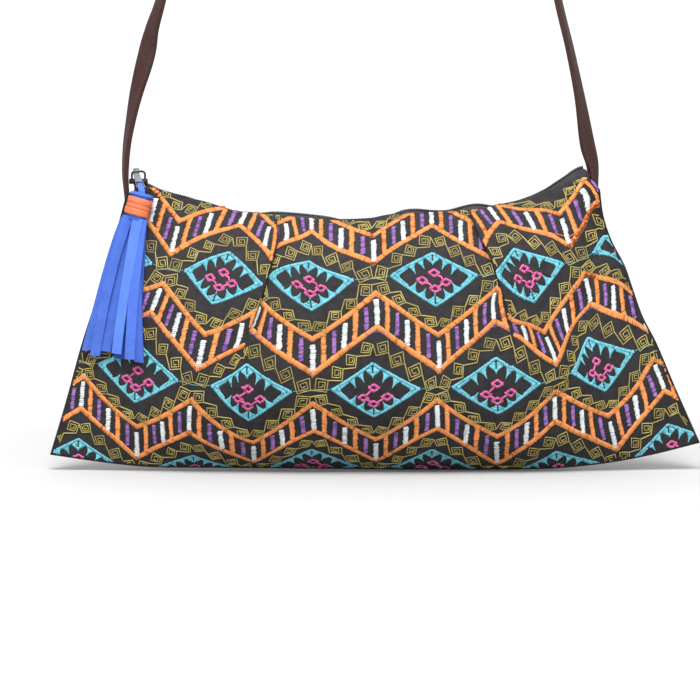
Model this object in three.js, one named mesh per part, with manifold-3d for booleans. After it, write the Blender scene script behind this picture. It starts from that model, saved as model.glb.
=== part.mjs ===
// Embroidered crossbody bag: a pleated cloth pouch with a zip along its top,
// hung from a narrow leather strap, with a suede tassel on the zip's pull.
// Millimetres, +Z up, the front faces -Y. The origin is the underside of the
// strap's top bend, where the bag hangs. All tables are in the bag's own frame:
// x from its centre line, z from the level of its two top corners.
import * as THREE from 'three';
import { mergeVertices } from 'three/addons/utils/BufferGeometryUtils.js';
import Module from 'manifold-3d';

const wasm = await Module();
wasm.setup();

// Driving sizes
const HANG_HEIGHT = 540;
const CLOTH_WALL = 1.4;
const HALF_DEPTH = 32;
const GAP = 0.3;
const TUCK_HALF = 3;
const TUCK_REACH = 0.16;
const PLEAT_RISE = 3.2;
const PLEAT_RUN = 1.8;
const PLEAT_FADE = 24;
const STEEPEST_WALL = 1.6;

const TAPE_THICK = 0.8;
const TAPE_DEPTH = 6;
const TAPE_FLARE = 2.2;
const TEETH_HALF_WIDTH = 0.8;
const TEETH_HALF_HEIGHT = 1;
const ZIP_START = -121.5;
const ZIP_END = 108;
const TEETH_END = 104.5;

const SLIDER = { x: -119.5, length: 9, halfWidth: 3.2, wall: 0.8, skirt: 1.4, plate: 1.2, chamfer: 0.8 };
const BAIL = { radius: 0.5, halfSpan: 3.3, rise: 3.6, corner: 1.1 };
const PULL = { eyeInner: 0.85, eyeOuter: 1.6, width: 4.8, length: 11, thick: 0.8, tiltDeg: 43 };
const PULL_SLANT = { eyeShare: 0.6, eyeShift: -1.1, endShift: 2 };
const PULL_SLOT = { at: 8.4, long: 2.4, wide: 3.6 };
const LOOP = { width: 2.2, footWidth: 3.6, thick: 0.9, half: 1.35 };
const HEAD = { top: [-116.8, -11.6, -0.4], foot: [-119.8, -12.3, -12.1], halfWide: 5, halfDeep: 3.6 };
const BRIM = { halfWide: 6, halfDeep: 4.4, height: 1.7 };
const BINDING = { thick: 0.95, from: 0.2, to: 0.98 };
const STRIPS_FROM = 1.03;
const HEAD_TO = 1.2;
const STRIP = { width: 5.3, thick: 1.2, lift: 0.7, step: 1.5, bow: 0.78, lean: 0.35, stations: 8 };
const STRAP_THICK = 2.4;

// Side seams, v runs from the top corners to the bottom corners
const SIDES = [
  { v: 0, left: -125, right: 112.8 },
  { v: 0.1, left: -128.8, right: 114.8 },
  { v: 0.2, left: -133, right: 119.2 },
  { v: 0.3, left: -137, right: 126 },
  { v: 0.4, left: -141, right: 130.6 },
  { v: 0.5, left: -145.4, right: 135.4 },
  { v: 0.6, left: -149.6, right: 142.2 },
  { v: 0.8, left: -157, right: 153.4 },
  { v: 1, left: -165.1, right: 165.1 },
];

// Cloth edge along the zip, sagging between the strap's ends
const TOP_EDGE = [
  { x: -125, z: -1.5 },
  { x: -119, z: 1.3 },
  { x: -113, z: 1.9 },
  { x: -106, z: 0.2 },
  { x: -97, z: -2.9 },
  { x: -87, z: -5 },
  { x: -76, z: -8.4 },
  { x: -70, z: -10.1 },
  { x: -60, z: -10.9 },
  { x: -44, z: -12.5 },
  { x: -28, z: -13.9 },
  { x: -18, z: -14.4 },
  { x: -2, z: -13.8 },
  { x: 5, z: -12.4 },
  { x: 13, z: -11.3 },
  { x: 36, z: -10 },
  { x: 51, z: -8.9 },
  { x: 62, z: -6.9 },
  { x: 72, z: -4.7 },
  { x: 80, z: -1.8 },
  { x: 85, z: 0.1 },
  { x: 90, z: 0.9 },
  { x: 95, z: 3.4 },
  { x: 100, z: 5.3 },
  { x: 104, z: 6.8 },
  { x: 108, z: 6.2 },
  { x: 112.8, z: 1 },
];

// Bottom seam
const BOTTOM_EDGE = [
  { x: -165.1, z: -133.6 },
  { x: -139, z: -137.4 },
  { x: -115, z: -139.8 },
  { x: -80, z: -140.2 },
  { x: -20, z: -140.6 },
  { x: 20, z: -141 },
  { x: 85, z: -140.8 },
  { x: 114, z: -138.4 },
  { x: 140, z: -133.8 },
  { x: 165.1, z: -127.5 },
];

// Middle section from the zip to the bottom seam: share of the depth and of the drop
const PROFILE = [
  { v: 0, depth: 0.12, drop: 0 },
  { v: 0.083, depth: 0.42, drop: 0.066 },
  { v: 0.199, depth: 0.78, drop: 0.17 },
  { v: 0.292, depth: 0.93, drop: 0.277 },
  { v: 0.407, depth: 1, drop: 0.41 },
  { v: 0.612, depth: 0.98, drop: 0.664 },
  { v: 0.821, depth: 0.58, drop: 0.866 },
  { v: 0.936, depth: 0.22, drop: 0.96 },
  { v: 1, depth: 0, drop: 1 },
];

// Fold edges of the two knife pleats, which fade out half way down
const PLEATS = [
  { v: 0, left: -51, right: 47.8, rise: 1 },
  { v: 0.05, left: -49.5, right: 49.4, rise: 1 },
  { v: 0.1, left: -48.9, right: 51.4, rise: 1 },
  { v: 0.14, left: -49.8, right: 53.5, rise: 0.95 },
  { v: 0.2, left: -51.6, right: 57, rise: 0.85 },
  { v: 0.34, left: -57.2, right: 63.6, rise: 0.5 },
  { v: 0.45, left: -63.5, right: 67, rise: 0.12 },
  { v: 0.55, left: -67, right: 69, rise: 0 },
  { v: 1, left: -75, right: 76, rise: 0 },
];

// Slack dent running in from the right side seam
const DENT_WIDTH = 7;
const DENT = [
  { v: 0.08, x: 112, depth: 0 },
  { v: 0.22, x: 112, depth: 3 },
  { v: 0.38, x: 107, depth: 3 },
  { v: 0.55, x: 99, depth: 1.2 },
  { v: 0.7, x: 94, depth: 0 },
];

// Ridge of the zip, where the two tapes meet at the teeth
const RIDGE = [
  { x: -121.5, z: 4 },
  { x: -116, z: 3.8 },
  { x: -109, z: 0.5 },
  { x: -101.6, z: -1.6 },
  { x: -94, z: -3.6 },
  { x: -88, z: -5.9 },
  { x: -81, z: -8.6 },
  { x: -71, z: -12 },
  { x: -63, z: -12.4 },
  { x: -59, z: -11.9 },
  { x: -53, z: -10.9 },
  { x: -45, z: -11.1 },
  { x: -28, z: -12.7 },
  { x: -20, z: -14.1 },
  { x: -14, z: -15.9 },
  { x: -2, z: -15.6 },
  { x: 4, z: -14.3 },
  { x: 8, z: -12.6 },
  { x: 11, z: -11.2 },
  { x: 15, z: -9.8 },
  { x: 21, z: -9.4 },
  { x: 29, z: -10.1 },
  { x: 36, z: -10.1 },
  { x: 40, z: -9.2 },
  { x: 45, z: -7.8 },
  { x: 51, z: -6.8 },
  { x: 57, z: -7.4 },
  { x: 63, z: -8.5 },
  { x: 68, z: -7.6 },
  { x: 75, z: -5.2 },
  { x: 81.6, z: -1.6 },
  { x: 87, z: 1.2 },
  { x: 91, z: 3.9 },
  { x: 96, z: 7.2 },
  { x: 100.6, z: 10.5 },
  { x: 104, z: 12 },
  { x: 106.3, z: 11.3 },
  { x: 108, z: 8.8 },
];

// Strap's middle line up from the left corner, over the hang point and down to the
// right corner; turn is how far its face is turned away from the front, in degrees
const STRAP = [
  { x: -124.8, y: 0, z: -8, turn: 80, width: 5 },
  { x: -125.6, y: 0, z: 0, turn: 79, width: 5.2 },
  { x: -126.1, y: 0, z: 9, turn: 75, width: 7 },
  { x: -125.2, y: 0, z: 23.4, turn: 72, width: 9 },
  { x: -123, y: 0, z: 36.6, turn: 64, width: 9 },
  { x: -120.3, y: 0, z: 49.3, turn: 50, width: 9 },
  { x: -115, y: 0, z: 68.6, turn: 24, width: 9 },
  { x: -112.2, y: 0, z: 81.3, turn: 48, width: 9 },
  { x: -107.2, y: 0, z: 97.5, turn: 64, width: 9 },
  { x: -83.5, y: 0, z: 201, turn: 74, width: 9 },
  { x: -58, y: 0, z: 315, turn: 84, width: 9 },
  { x: -26, y: 0, z: 460, turn: 90, width: 9 },
  { x: -12, y: 0, z: 528, turn: 90, width: 9 },
  { x: -8, y: 0, z: 537.4, turn: 90, width: 9 },
  { x: 0, y: 0, z: 541.2, turn: 90, width: 9 },
  { x: 8, y: 0, z: 537.4, turn: 90, width: 9 },
  { x: 12, y: 0, z: 528, turn: 90, width: 9 },
  { x: 23, y: 0, z: 460, turn: 90, width: 9 },
  { x: 49.5, y: 0, z: 315, turn: 84, width: 9 },
  { x: 71, y: 0, z: 201, turn: 77, width: 9 },
  { x: 91.4, y: 0, z: 97.5, turn: 72, width: 9 },
  { x: 97.8, y: 0, z: 71.6, turn: 70, width: 9 },
  { x: 103.1, y: 0.4, z: 47, turn: 62, width: 9 },
  { x: 107.2, y: 0.8, z: 23.4, turn: 41, width: 9 },
  { x: 109.6, y: 0.4, z: 13.7, turn: 40, width: 7.2 },
  { x: 110.4, y: 0, z: 4, turn: 36, width: 4.6 },
  { x: 110.2, y: 0, z: -8, turn: 36, width: 4.6 },
];
const STRAP_STEPS = 80;

// Tassel strips from back to front: how far to the side of the head each starts, where
// its end lies on the cloth, and its layer counted from the cloth
const STRIPS = [
  { start: -3.1, endX: -143.5, endZ: -79.5, layer: 0 },
  { start: -1, endX: -138, endZ: -80.5, layer: 0 },
  { start: 1.4, endX: -128.6, endZ: -83.4, layer: 0 },
  { start: 3, endX: -120.4, endZ: -82.6, layer: 0 },
  { start: -3.6, endX: -145.6, endZ: -79.7, layer: 1 },
  { start: 0, endX: -135.3, endZ: -79.8, layer: 1 },
  { start: 0.2, endX: -118.2, endZ: -84.6, layer: 1 },
  { start: -2.8, endX: -141, endZ: -82.2, layer: 2 },
  { start: 3.3, endX: -122.8, endZ: -83.2, layer: 2 },
  { start: 1.6, endX: -129.6, endZ: -80.6, layer: 2.4 },
];

// Resolution of the meshes
const ROWS = 19;
const SIDE_COLUMNS = 10;
const MIDDLE_COLUMNS = 12;
const ZIP_STEPS = 42;
const ROUND = 10;

const { clamp, lerp, smoothstep, degToRad } = THREE.MathUtils;
const vec = (x, y, z) => new THREE.Vector3(x, y, z);

/** Smooth curve through a table's rows, read at one value of its key column. */
function readTable(rows, key, value, at) {
  let i = 0;
  while (i < rows.length - 2 && rows[i + 1][key] < at) {
    i += 1;
  }
  const slope = (j) => {
    const before = rows[Math.max(j - 1, 0)];
    const after = rows[Math.min(j + 1, rows.length - 1)];
    return (after[value] - before[value]) / (after[key] - before[key]);
  };
  const [a, b] = [rows[i], rows[i + 1]];
  const span = b[key] - a[key];
  const t = clamp((at - a[key]) / span, 0, 1);
  const eased = t * t * (3 - 2 * t);
  const bend = slope(i) * t * (1 - t) ** 2 - slope(i + 1) * t * t * (1 - t);
  return lerp(a[value], b[value], eased) + span * bend;
}

/** Middle and half width of the cloth at one level. */
function levelAt(v) {
  const left = readTable(SIDES, 'v', 'left', v);
  const right = readTable(SIDES, 'v', 'right', v);
  return { left, right, middle: (left + right) / 2, half: (right - left) / 2 };
}

/** Height that a pleat's lapped layer stands proud at a place on the cloth. */
function pleatAt(x, v) {
  const rise = PLEAT_RISE * clamp(readTable(PLEATS, 'v', 'rise', v), 0, 1);
  const lap = (outward) => {
    const fade = Math.exp(-((Math.max(outward, 0) / PLEAT_FADE) ** 2));
    return smoothstep(outward, -PLEAT_RUN / 2, PLEAT_RUN / 2) * fade;
  };
  const leftLap = lap(readTable(PLEATS, 'v', 'left', v) - x);
  const rightLap = lap(x - readTable(PLEATS, 'v', 'right', v));
  return rise * (leftLap + rightLap);
}

/** Depth taken away by the slack dent near the right side seam. */
function dentAt(x, v) {
  const depth = Math.max(readTable(DENT, 'v', 'depth', v), 0);
  const away = (x - readTable(DENT, 'v', 'x', v)) / DENT_WIDTH;
  return depth * Math.exp(-away * away);
}

/** Inner face of the cloth: distance from the middle plane with and without folds, and height. */
function clothAt(x, v) {
  const level = levelAt(v);
  const across = clamp((x - level.middle) / level.half, -1, 1);
  const edge = Math.abs(across) ** 3;
  const [top, bottom] = [levelAt(0), levelAt(1)];
  const topZ = readTable(TOP_EDGE, 'x', 'z', top.middle + across * top.half);
  const bottomZ = readTable(BOTTOM_EDGE, 'x', 'z', bottom.middle + across * bottom.half);
  const drop = lerp(readTable(PROFILE, 'v', 'drop', v), v, edge);
  const bulge = HALF_DEPTH * readTable(PROFILE, 'v', 'depth', v) * (1 - edge);
  const tuck = TUCK_HALF * smoothstep(TUCK_REACH - v, 0, TUCK_REACH) * edge ** 2;
  const folds = (pleatAt(x, v) - dentAt(x, v)) * Math.min(1, 3 * (1 - edge)) * smoothstep(1 - v, 0, 0.1);
  const smooth = GAP / 2 + tuck + bulge;
  return { depth: Math.max(smooth + folds, GAP / 2), smooth, z: lerp(topZ, bottomZ, drop) };
}

/** Wall measured along Y, thicker where the cloth slopes away from the front. */
function wallAt(x, v) {
  const step = 0.4;
  const level = levelAt(v);
  const [x0, x1] = [Math.max(x - step, level.left), Math.min(x + step, level.right)];
  const [v0, v1] = [Math.max(v - 0.01, 0), Math.min(v + 0.01, 1)];
  const slopeX = (clothAt(x1, v).depth - clothAt(x0, v).depth) / (x1 - x0);
  const [upper, lower] = [clothAt(x, v0), clothAt(x, v1)];
  const slopeZ = (lower.depth - upper.depth) / Math.max(Math.abs(lower.z - upper.z), 0.1);
  return CLOTH_WALL * Math.min(Math.hypot(1, slopeX, slopeZ), STEEPEST_WALL);
}

/** Columns of the cloth grid at one level, closest together along the pleats' folds. */
function columnsAt(v) {
  const { left, right } = levelAt(v);
  const run = PLEAT_RUN / 2;
  const leftFold = readTable(PLEATS, 'v', 'left', v);
  const rightFold = readTable(PLEATS, 'v', 'right', v);
  const columns = [];
  const fill = (from, to, count) => {
    for (let k = 0; k < count; k += 1) {
      columns.push(lerp(from, to, k / count));
    }
  };
  fill(left, leftFold - run, SIDE_COLUMNS);
  fill(leftFold - run, leftFold + run, 2);
  fill(leftFold + run, rightFold - run, MIDDLE_COLUMNS);
  fill(rightFold - run, rightFold + run, 2);
  fill(rightFold + run, right, SIDE_COLUMNS);
  columns.push(right);
  return columns;
}

/** Height of the front cloth's outer face at a place seen from the front. */
function frontFaceAt(x, z) {
  let [upper, lower] = [0, 1];
  for (let k = 0; k < 24; k += 1) {
    const v = (upper + lower) / 2;
    const level = levelAt(v);
    if (clothAt(clamp(x, level.left, level.right), v).z > z) {
      upper = v;
    } else {
      lower = v;
    }
  }
  const level = levelAt(upper);
  const inside = clamp(x, level.left, level.right);
  return -(clothAt(inside, upper).depth + wallAt(inside, upper));
}

/** Closed geometry from points and triangles, turned to face outwards. */
function closedGeometry(points, triangles) {
  const position = new Float32Array(points.flatMap((p) => [p.x, p.y, p.z]));
  const cross = vec(0, 0, 0);
  const volume = triangles.reduce((sum, [a, b, c]) => {
    return sum + points[a].dot(cross.crossVectors(points[b], points[c]));
  }, 0);
  const index = triangles.flatMap(([a, b, c]) => (volume > 0 ? [a, b, c] : [a, c, b]));
  const geometry = new THREE.BufferGeometry();
  geometry.setAttribute('position', new THREE.BufferAttribute(position, 3));
  geometry.setIndex(index);
  geometry.computeVertexNormals();
  return geometry;
}

/** Solid through a row of sections with the same number of corners. */
function loft(sections, closed = false) {
  const count = sections[0].length;
  const points = sections.flat();
  const triangles = [];
  const spans = closed ? sections.length : sections.length - 1;
  for (let i = 0; i < spans; i += 1) {
    const next = (i + 1) % sections.length;
    for (let j = 0; j < count; j += 1) {
      const k = (j + 1) % count;
      const [a, b, c, d] = [i * count + j, i * count + k, next * count + k, next * count + j];
      triangles.push([a, b, c], [a, c, d]);
    }
  }
  if (!closed) {
    const last = (sections.length - 1) * count;
    for (let j = 0; j < count / 2 - 1; j += 1) {
      const [a, b, c, d] = [j, j + 1, count - 2 - j, count - 1 - j];
      triangles.push([a, c, b], [a, d, c]);
      triangles.push([last + a, last + b, last + c], [last + a, last + c, last + d]);
    }
  }
  return closedGeometry(points, triangles);
}

/** Wall between two faces given as grids of points. */
function wallBetween(outer, inner) {
  const rows = outer.length;
  const columns = outer[0].length;
  const points = [...outer.flat(), ...inner.flat()];
  const at = (face, i, j) => face * rows * columns + i * columns + j;
  const triangles = [];
  for (let i = 0; i < rows - 1; i += 1) {
    for (let j = 0; j < columns - 1; j += 1) {
      const [a, b, c, d] = [at(0, i, j), at(0, i, j + 1), at(0, i + 1, j + 1), at(0, i + 1, j)];
      triangles.push([a, b, c], [a, c, d]);
      const [e, f, g, h] = [at(1, i, j), at(1, i, j + 1), at(1, i + 1, j + 1), at(1, i + 1, j)];
      triangles.push([e, g, f], [e, h, g]);
    }
  }
  const range = (count) => [...Array(count).keys()];
  const rim = [
    ...range(columns - 1).map((j) => [0, j]),
    ...range(rows - 1).map((i) => [i, columns - 1]),
    ...range(columns - 1).map((j) => [rows - 1, columns - 1 - j]),
    ...range(rows - 1).map((i) => [rows - 1 - i, 0]),
  ];
  rim.forEach(([i, j], k) => {
    const [m, n] = rim[(k + 1) % rim.length];
    const [a, b, c, d] = [at(0, i, j), at(0, m, n), at(1, m, n), at(1, i, j)];
    triangles.push([a, c, b], [a, d, c]);
  });
  return closedGeometry(points, triangles);
}

/** Closed mesh as a solid that can be joined or cut. */
function toSolid(geometry) {
  const bare = geometry.clone();
  bare.deleteAttribute('normal');
  bare.deleteAttribute('uv');
  const merged = mergeVertices(bare, 1e-4);
  const vertProperties = new Float32Array(merged.attributes.position.array);
  const triVerts = new Uint32Array(merged.index.array);
  return new wasm.Manifold(new wasm.Mesh({ numProp: 3, vertProperties, triVerts }));
}

/** Solid back as a geometry. */
function toGeometry(solid) {
  const mesh = solid.getMesh();
  const geometry = new THREE.BufferGeometry();
  geometry.setAttribute('position', new THREE.BufferAttribute(new Float32Array(mesh.vertProperties), 3));
  geometry.setIndex([...mesh.triVerts]);
  geometry.computeVertexNormals();
  return geometry;
}

/** One cloth panel; side is -1 for the front and 1 for the back. */
function panelGeometry(side) {
  const outer = [];
  const inner = [];
  for (let i = 0; i <= ROWS; i += 1) {
    const v = i / ROWS;
    const columns = columnsAt(v);
    const places = columns.map((x) => ({ x, ...clothAt(x, v), wall: wallAt(x, v) }));
    outer.push(places.map((p) => vec(p.x, side * (p.depth + p.wall), p.z)));
    inner.push(places.map((p) => vec(p.x, side * p.depth, p.z)));
  }
  return wallBetween(outer, inner);
}

/** One zip tape, from inside the cloth's edge up to the teeth. */
function tapeGeometry(side) {
  const sections = [];
  for (let k = 0; k <= ZIP_STEPS; k += 1) {
    const x = lerp(ZIP_START, side < 0 ? ZIP_END : TEETH_END, k / ZIP_STEPS);
    const edgeZ = readTable(TOP_EDGE, 'x', 'z', x);
    const ridgeZ = readTable(RIDGE, 'x', 'z', x);
    const flare = side < 0 ? TAPE_FLARE * smoothstep(x, TEETH_END - 4, ZIP_END) : 0;
    const low = Math.max(clothAt(x, 0).smooth - GAP, TAPE_THICK + TEETH_HALF_WIDTH + GAP);
    const high = TEETH_HALF_WIDTH + GAP + TAPE_THICK + flare;
    const hem = Math.min(edgeZ, ridgeZ - 0.3);
    sections.push([
      vec(x, side * low, hem - TAPE_DEPTH),
      vec(x, side * low, hem),
      vec(x, side * high, ridgeZ + GAP),
      vec(x, side * (high - TAPE_THICK), ridgeZ + GAP),
      vec(x, side * (low - TAPE_THICK), hem),
      vec(x, side * (low - TAPE_THICK), hem - TAPE_DEPTH),
    ]);
  }
  return loft(sections);
}

/** Closed zip teeth as one ribbed line's plain bar. */
function teethGeometry() {
  const sections = [];
  for (let k = 0; k <= ZIP_STEPS; k += 1) {
    const x = lerp(ZIP_START, TEETH_END, k / ZIP_STEPS);
    const z = readTable(RIDGE, 'x', 'z', x);
    sections.push([0, 1, 2, 3, 4, 5].map((corner) => {
      const angle = (corner * Math.PI) / 3;
      return vec(x, TEETH_HALF_WIDTH * Math.cos(angle), z + TEETH_HALF_HEIGHT * Math.sin(angle));
    }));
  }
  return loft(sections);
}

const sliderTop = readTable(RIDGE, 'x', 'z', SLIDER.x) + TEETH_HALF_HEIGHT + GAP + SLIDER.plate;
const hinge = vec(SLIDER.x, 0, sliderTop + BAIL.rise);

/** Zip slider: a channel over the teeth with an arched bail on top. */
function sliderGeometry() {
  const { halfWidth, wall, skirt, plate, chamfer, length } = SLIDER;
  const low = -plate - skirt;
  const channel = new THREE.Shape([
    new THREE.Vector2(-halfWidth, low),
    new THREE.Vector2(-halfWidth + wall, low),
    new THREE.Vector2(-halfWidth + wall, -plate),
    new THREE.Vector2(halfWidth - wall, -plate),
    new THREE.Vector2(halfWidth - wall, low),
    new THREE.Vector2(halfWidth, low),
    new THREE.Vector2(halfWidth, -chamfer),
    new THREE.Vector2(halfWidth - chamfer, 0),
    new THREE.Vector2(-halfWidth + chamfer, 0),
    new THREE.Vector2(-halfWidth, -chamfer),
  ]);
  const body = new THREE.ExtrudeGeometry(channel, { depth: length, bevelEnabled: false });
  body.translate(0, 0, -length / 2);
  body.rotateX(Math.PI / 2);
  body.rotateZ(Math.PI / 2);
  body.translate(SLIDER.x, 0, sliderTop);
  const foot = -BAIL.rise - plate / 2;
  const { halfSpan, corner } = BAIL;
  const arch = new THREE.CatmullRomCurve3([
    vec(-halfSpan, 0, foot),
    vec(-halfSpan, 0, foot / 2),
    vec(-halfSpan, 0, -corner),
    vec(-halfSpan + corner, 0, 0),
    vec(0, 0, 0),
    vec(halfSpan - corner, 0, 0),
    vec(halfSpan, 0, -corner),
    vec(halfSpan, 0, foot / 2),
    vec(halfSpan, 0, foot),
  ].map((p) => p.add(hinge)), false, 'centripetal');
  const wire = new THREE.Shape().absarc(0, 0, BAIL.radius, 0, 2 * Math.PI);
  const bail = new THREE.ExtrudeGeometry(wire, { extrudePath: arch, steps: 24, curveSegments: 4 });
  return toGeometry(toSolid(body).add(toSolid(bail)));
}

const pullTilt = degToRad(PULL.tiltDeg);
const pullDown = vec(0, -Math.sin(pullTilt), -Math.cos(pullTilt));
const pullOut = vec(0, -Math.cos(pullTilt), Math.sin(pullTilt));

/** How far the zip pull's middle line lies to the side, at a distance down from the bail. */
function pullSlant(down) {
  const share = clamp((down - PULL.eyeOuter) / (PULL.length - PULL.eyeOuter), 0, 1);
  const grow = lerp(PULL_SLANT.eyeShare, 1, share);
  return { grow, shift: lerp(PULL_SLANT.eyeShift, PULL_SLANT.endShift, share) };
}

/** Zip pull: a slanted plate rolled round the bail at its top, with a slot for the tassel's loop. */
function pullGeometry() {
  const { eyeInner, eyeOuter, thick, length, width } = PULL;
  const start = Math.asin(thick / 2 / eyeOuter);
  const profile = new THREE.Shape();
  profile.absarc(0, 0, eyeOuter, start, 2 * Math.PI - start);
  profile.lineTo(length, -thick / 2);
  profile.lineTo(length, thick / 2);
  profile.holes.push(new THREE.Path().absarc(0, 0, eyeInner, 0, 2 * Math.PI, true));
  const plate = new THREE.ExtrudeGeometry(profile, { depth: width, bevelEnabled: false, curveSegments: 16 });
  plate.translate(0, 0, -width / 2);
  const slot = new THREE.BoxGeometry(PULL_SLOT.long, 4 * thick, PULL_SLOT.wide);
  slot.translate(PULL_SLOT.at, 0, 0);
  const geometry = toGeometry(toSolid(plate).subtract(toSolid(slot)));
  const place = geometry.attributes.position;
  for (let k = 0; k < place.count; k += 1) {
    const { grow, shift } = pullSlant(place.getX(k));
    place.setZ(k, place.getZ(k) * grow - shift);
  }
  geometry.computeVertexNormals();
  const sideways = pullDown.clone().cross(pullOut);
  geometry.applyMatrix4(new THREE.Matrix4().makeBasis(pullDown, pullOut, sideways));
  return geometry.translate(hinge.x, hinge.y, hinge.z);
}

const headTop = vec(...HEAD.top);
const headFoot = vec(...HEAD.foot);

/** Oval section of the tassel's head, at a share of the way down its axis. */
function headSection(share, halfWide, halfDeep) {
  const middle = headTop.clone().lerp(headFoot, share);
  const axis = headFoot.clone().sub(headTop).normalize();
  const deep = vec(0, 1, 0).addScaledVector(axis, -axis.y).normalize();
  const wide = axis.clone().cross(deep);
  return Array.from({ length: 2 * ROUND }, (_, k) => {
    const angle = (k * Math.PI) / ROUND;
    return middle.clone()
      .addScaledVector(wide, halfWide * Math.cos(angle))
      .addScaledVector(deep, halfDeep * Math.sin(angle));
  });
}

/** Flat suede loop through the pull's slot, with both its legs run into the head. */
function loopGeometry() {
  const across = vec(1, 0, 0);
  const slot = hinge.clone().addScaledVector(pullDown, PULL_SLOT.at);
  slot.addScaledVector(across, pullSlant(PULL_SLOT.at).shift);
  const leg = (out) => [
    headTop.clone().lerp(headFoot, 0.35).addScaledVector(pullOut, 0.6 * out),
    headTop.clone().addScaledVector(pullOut, 0.8 * out),
    slot.clone().addScaledVector(pullDown, 4).addScaledVector(pullOut, 0.95 * out).addScaledVector(across, 0.9),
    slot.clone().addScaledVector(pullDown, 1.5).addScaledVector(pullOut, out).addScaledVector(across, 0.3),
  ];
  const path = [...leg(LOOP.half), slot, ...leg(-LOOP.half).reverse()];
  const curve = new THREE.CatmullRomCurve3(path, false, 'centripetal');
  const sections = curve.getPoints(26).map((point, k, all) => {
    const half = lerp(LOOP.width, LOOP.footWidth, Math.abs((2 * k) / (all.length - 1) - 1)) / 2;
    const ahead = all[Math.min(k + 1, all.length - 1)].clone().sub(all[Math.max(k - 1, 0)]).normalize();
    const wide = across.clone().addScaledVector(ahead, -ahead.x).normalize();
    const deep = ahead.clone().cross(wide);
    return [[-1, -1], [1, -1], [1, 1], [-1, 1]].map(([w, d]) => point.clone()
      .addScaledVector(wide, w * half)
      .addScaledVector(deep, (d * LOOP.thick) / 2));
  });
  return loft(sections);
}

/** How steeply a strip lies across the cloth, held flat where the cloth turns away at its seam. */
function stripLean(x, z) {
  return clamp((frontFaceAt(x + 2, z) - frontFaceAt(x - 2, z)) / 4, -STRIP.lean, STRIP.lean);
}

/** Depth of a strip's middle that keeps both its edges clear of the cloth. */
function stripRest(x, z) {
  const half = STRIP.width / 2;
  const lean = stripLean(x, z);
  return Math.min(frontFaceAt(x, z), frontFaceAt(x + half, z) - lean * half, frontFaceAt(x - half, z) + lean * half);
}

/** One suede strip from the head's foot to its end on the cloth. */
function stripGeometry({ start, endX, endZ, layer }) {
  const from = headTop.clone().lerp(headFoot, STRIPS_FROM);
  const lift = STRIP.lift + STRIP.thick / 2 + STRIP.step * layer;
  const startY = from.y + (1 - layer) * 0.55 * HEAD.halfDeep;
  const slant = (headFoot.x - headTop.x) / (headFoot.z - headTop.z);
  const startX = from.x + start;
  const startZ = from.z - slant * start;
  const endY = stripRest(endX, endZ) - lift;
  const sections = [];
  for (let k = 0; k <= STRIP.stations; k += 1) {
    const t = k / STRIP.stations;
    const x = lerp(startX, endX, t ** STRIP.bow);
    const z = lerp(startZ, endZ, t);
    const lying = stripRest(x, z) - lift;
    const half = STRIP.width / 2;
    const settled = smoothstep(t, 0.1, 0.6);
    const clear = frontFaceAt(x + half * (1 - settled), z) - STRIP.thick / 2 - 2 * GAP;
    const y = Math.min(lerp(startY, endY, t), lerp(startY, lying, smoothstep(t, 0, 0.35)), clear);
    const slope = stripLean(x, z);
    const wide = vec(1, slope * settled, -slant * (1 - smoothstep(t, 0, 0.3))).normalize();
    const deep = vec(-wide.y, wide.x, 0);
    sections.push([[-1, -1], [1, -1], [1, 1], [-1, 1]].map(([w, d]) => vec(x, y, z)
      .addScaledVector(wide, w * half)
      .addScaledVector(deep, (d * STRIP.thick) / 2)));
  }
  return loft(sections);
}

/** Suede tassel: loop, head and strips fused into one body, closed pockets filled. */
function tasselGeometry() {
  const brimFoot = BRIM.height / headTop.distanceTo(headFoot);
  const { halfWide, halfDeep } = HEAD;
  const head = loft([headSection(0, halfWide, halfDeep), headSection(HEAD_TO, halfWide, halfDeep)]);
  const brim = loft([
    headSection(0, BRIM.halfWide - 0.8, BRIM.halfDeep - 0.8),
    headSection(brimFoot * 0.4, BRIM.halfWide, BRIM.halfDeep),
    headSection(brimFoot, BRIM.halfWide, BRIM.halfDeep),
  ]);
  const strips = STRIPS.map((row) => toSolid(stripGeometry(row)));
  const parts = [toSolid(brim), toSolid(loopGeometry()), ...strips];
  const fused = parts.reduce((sum, solid) => sum.add(solid), toSolid(head));
  const shells = fused.decompose().sort((a, b) => b.volume() - a.volume());
  return toGeometry(shells[0]);
}

/** Thread binding wound round the head, as one ring. */
function bindingGeometry() {
  const { thick, from, to } = BINDING;
  const ring = (share, grow) => headSection(share, HEAD.halfWide + grow, HEAD.halfDeep + grow);
  const inner = GAP;
  const outer = GAP + thick;
  const low = to - 0.05;
  const high = from + 0.05;
  return loft([ring(from, inner), ring(from, outer - 0.3), ring(high, outer), ring(low, outer),
    ring(to, outer - 0.3), ring(to, inner)], true);
}

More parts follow.
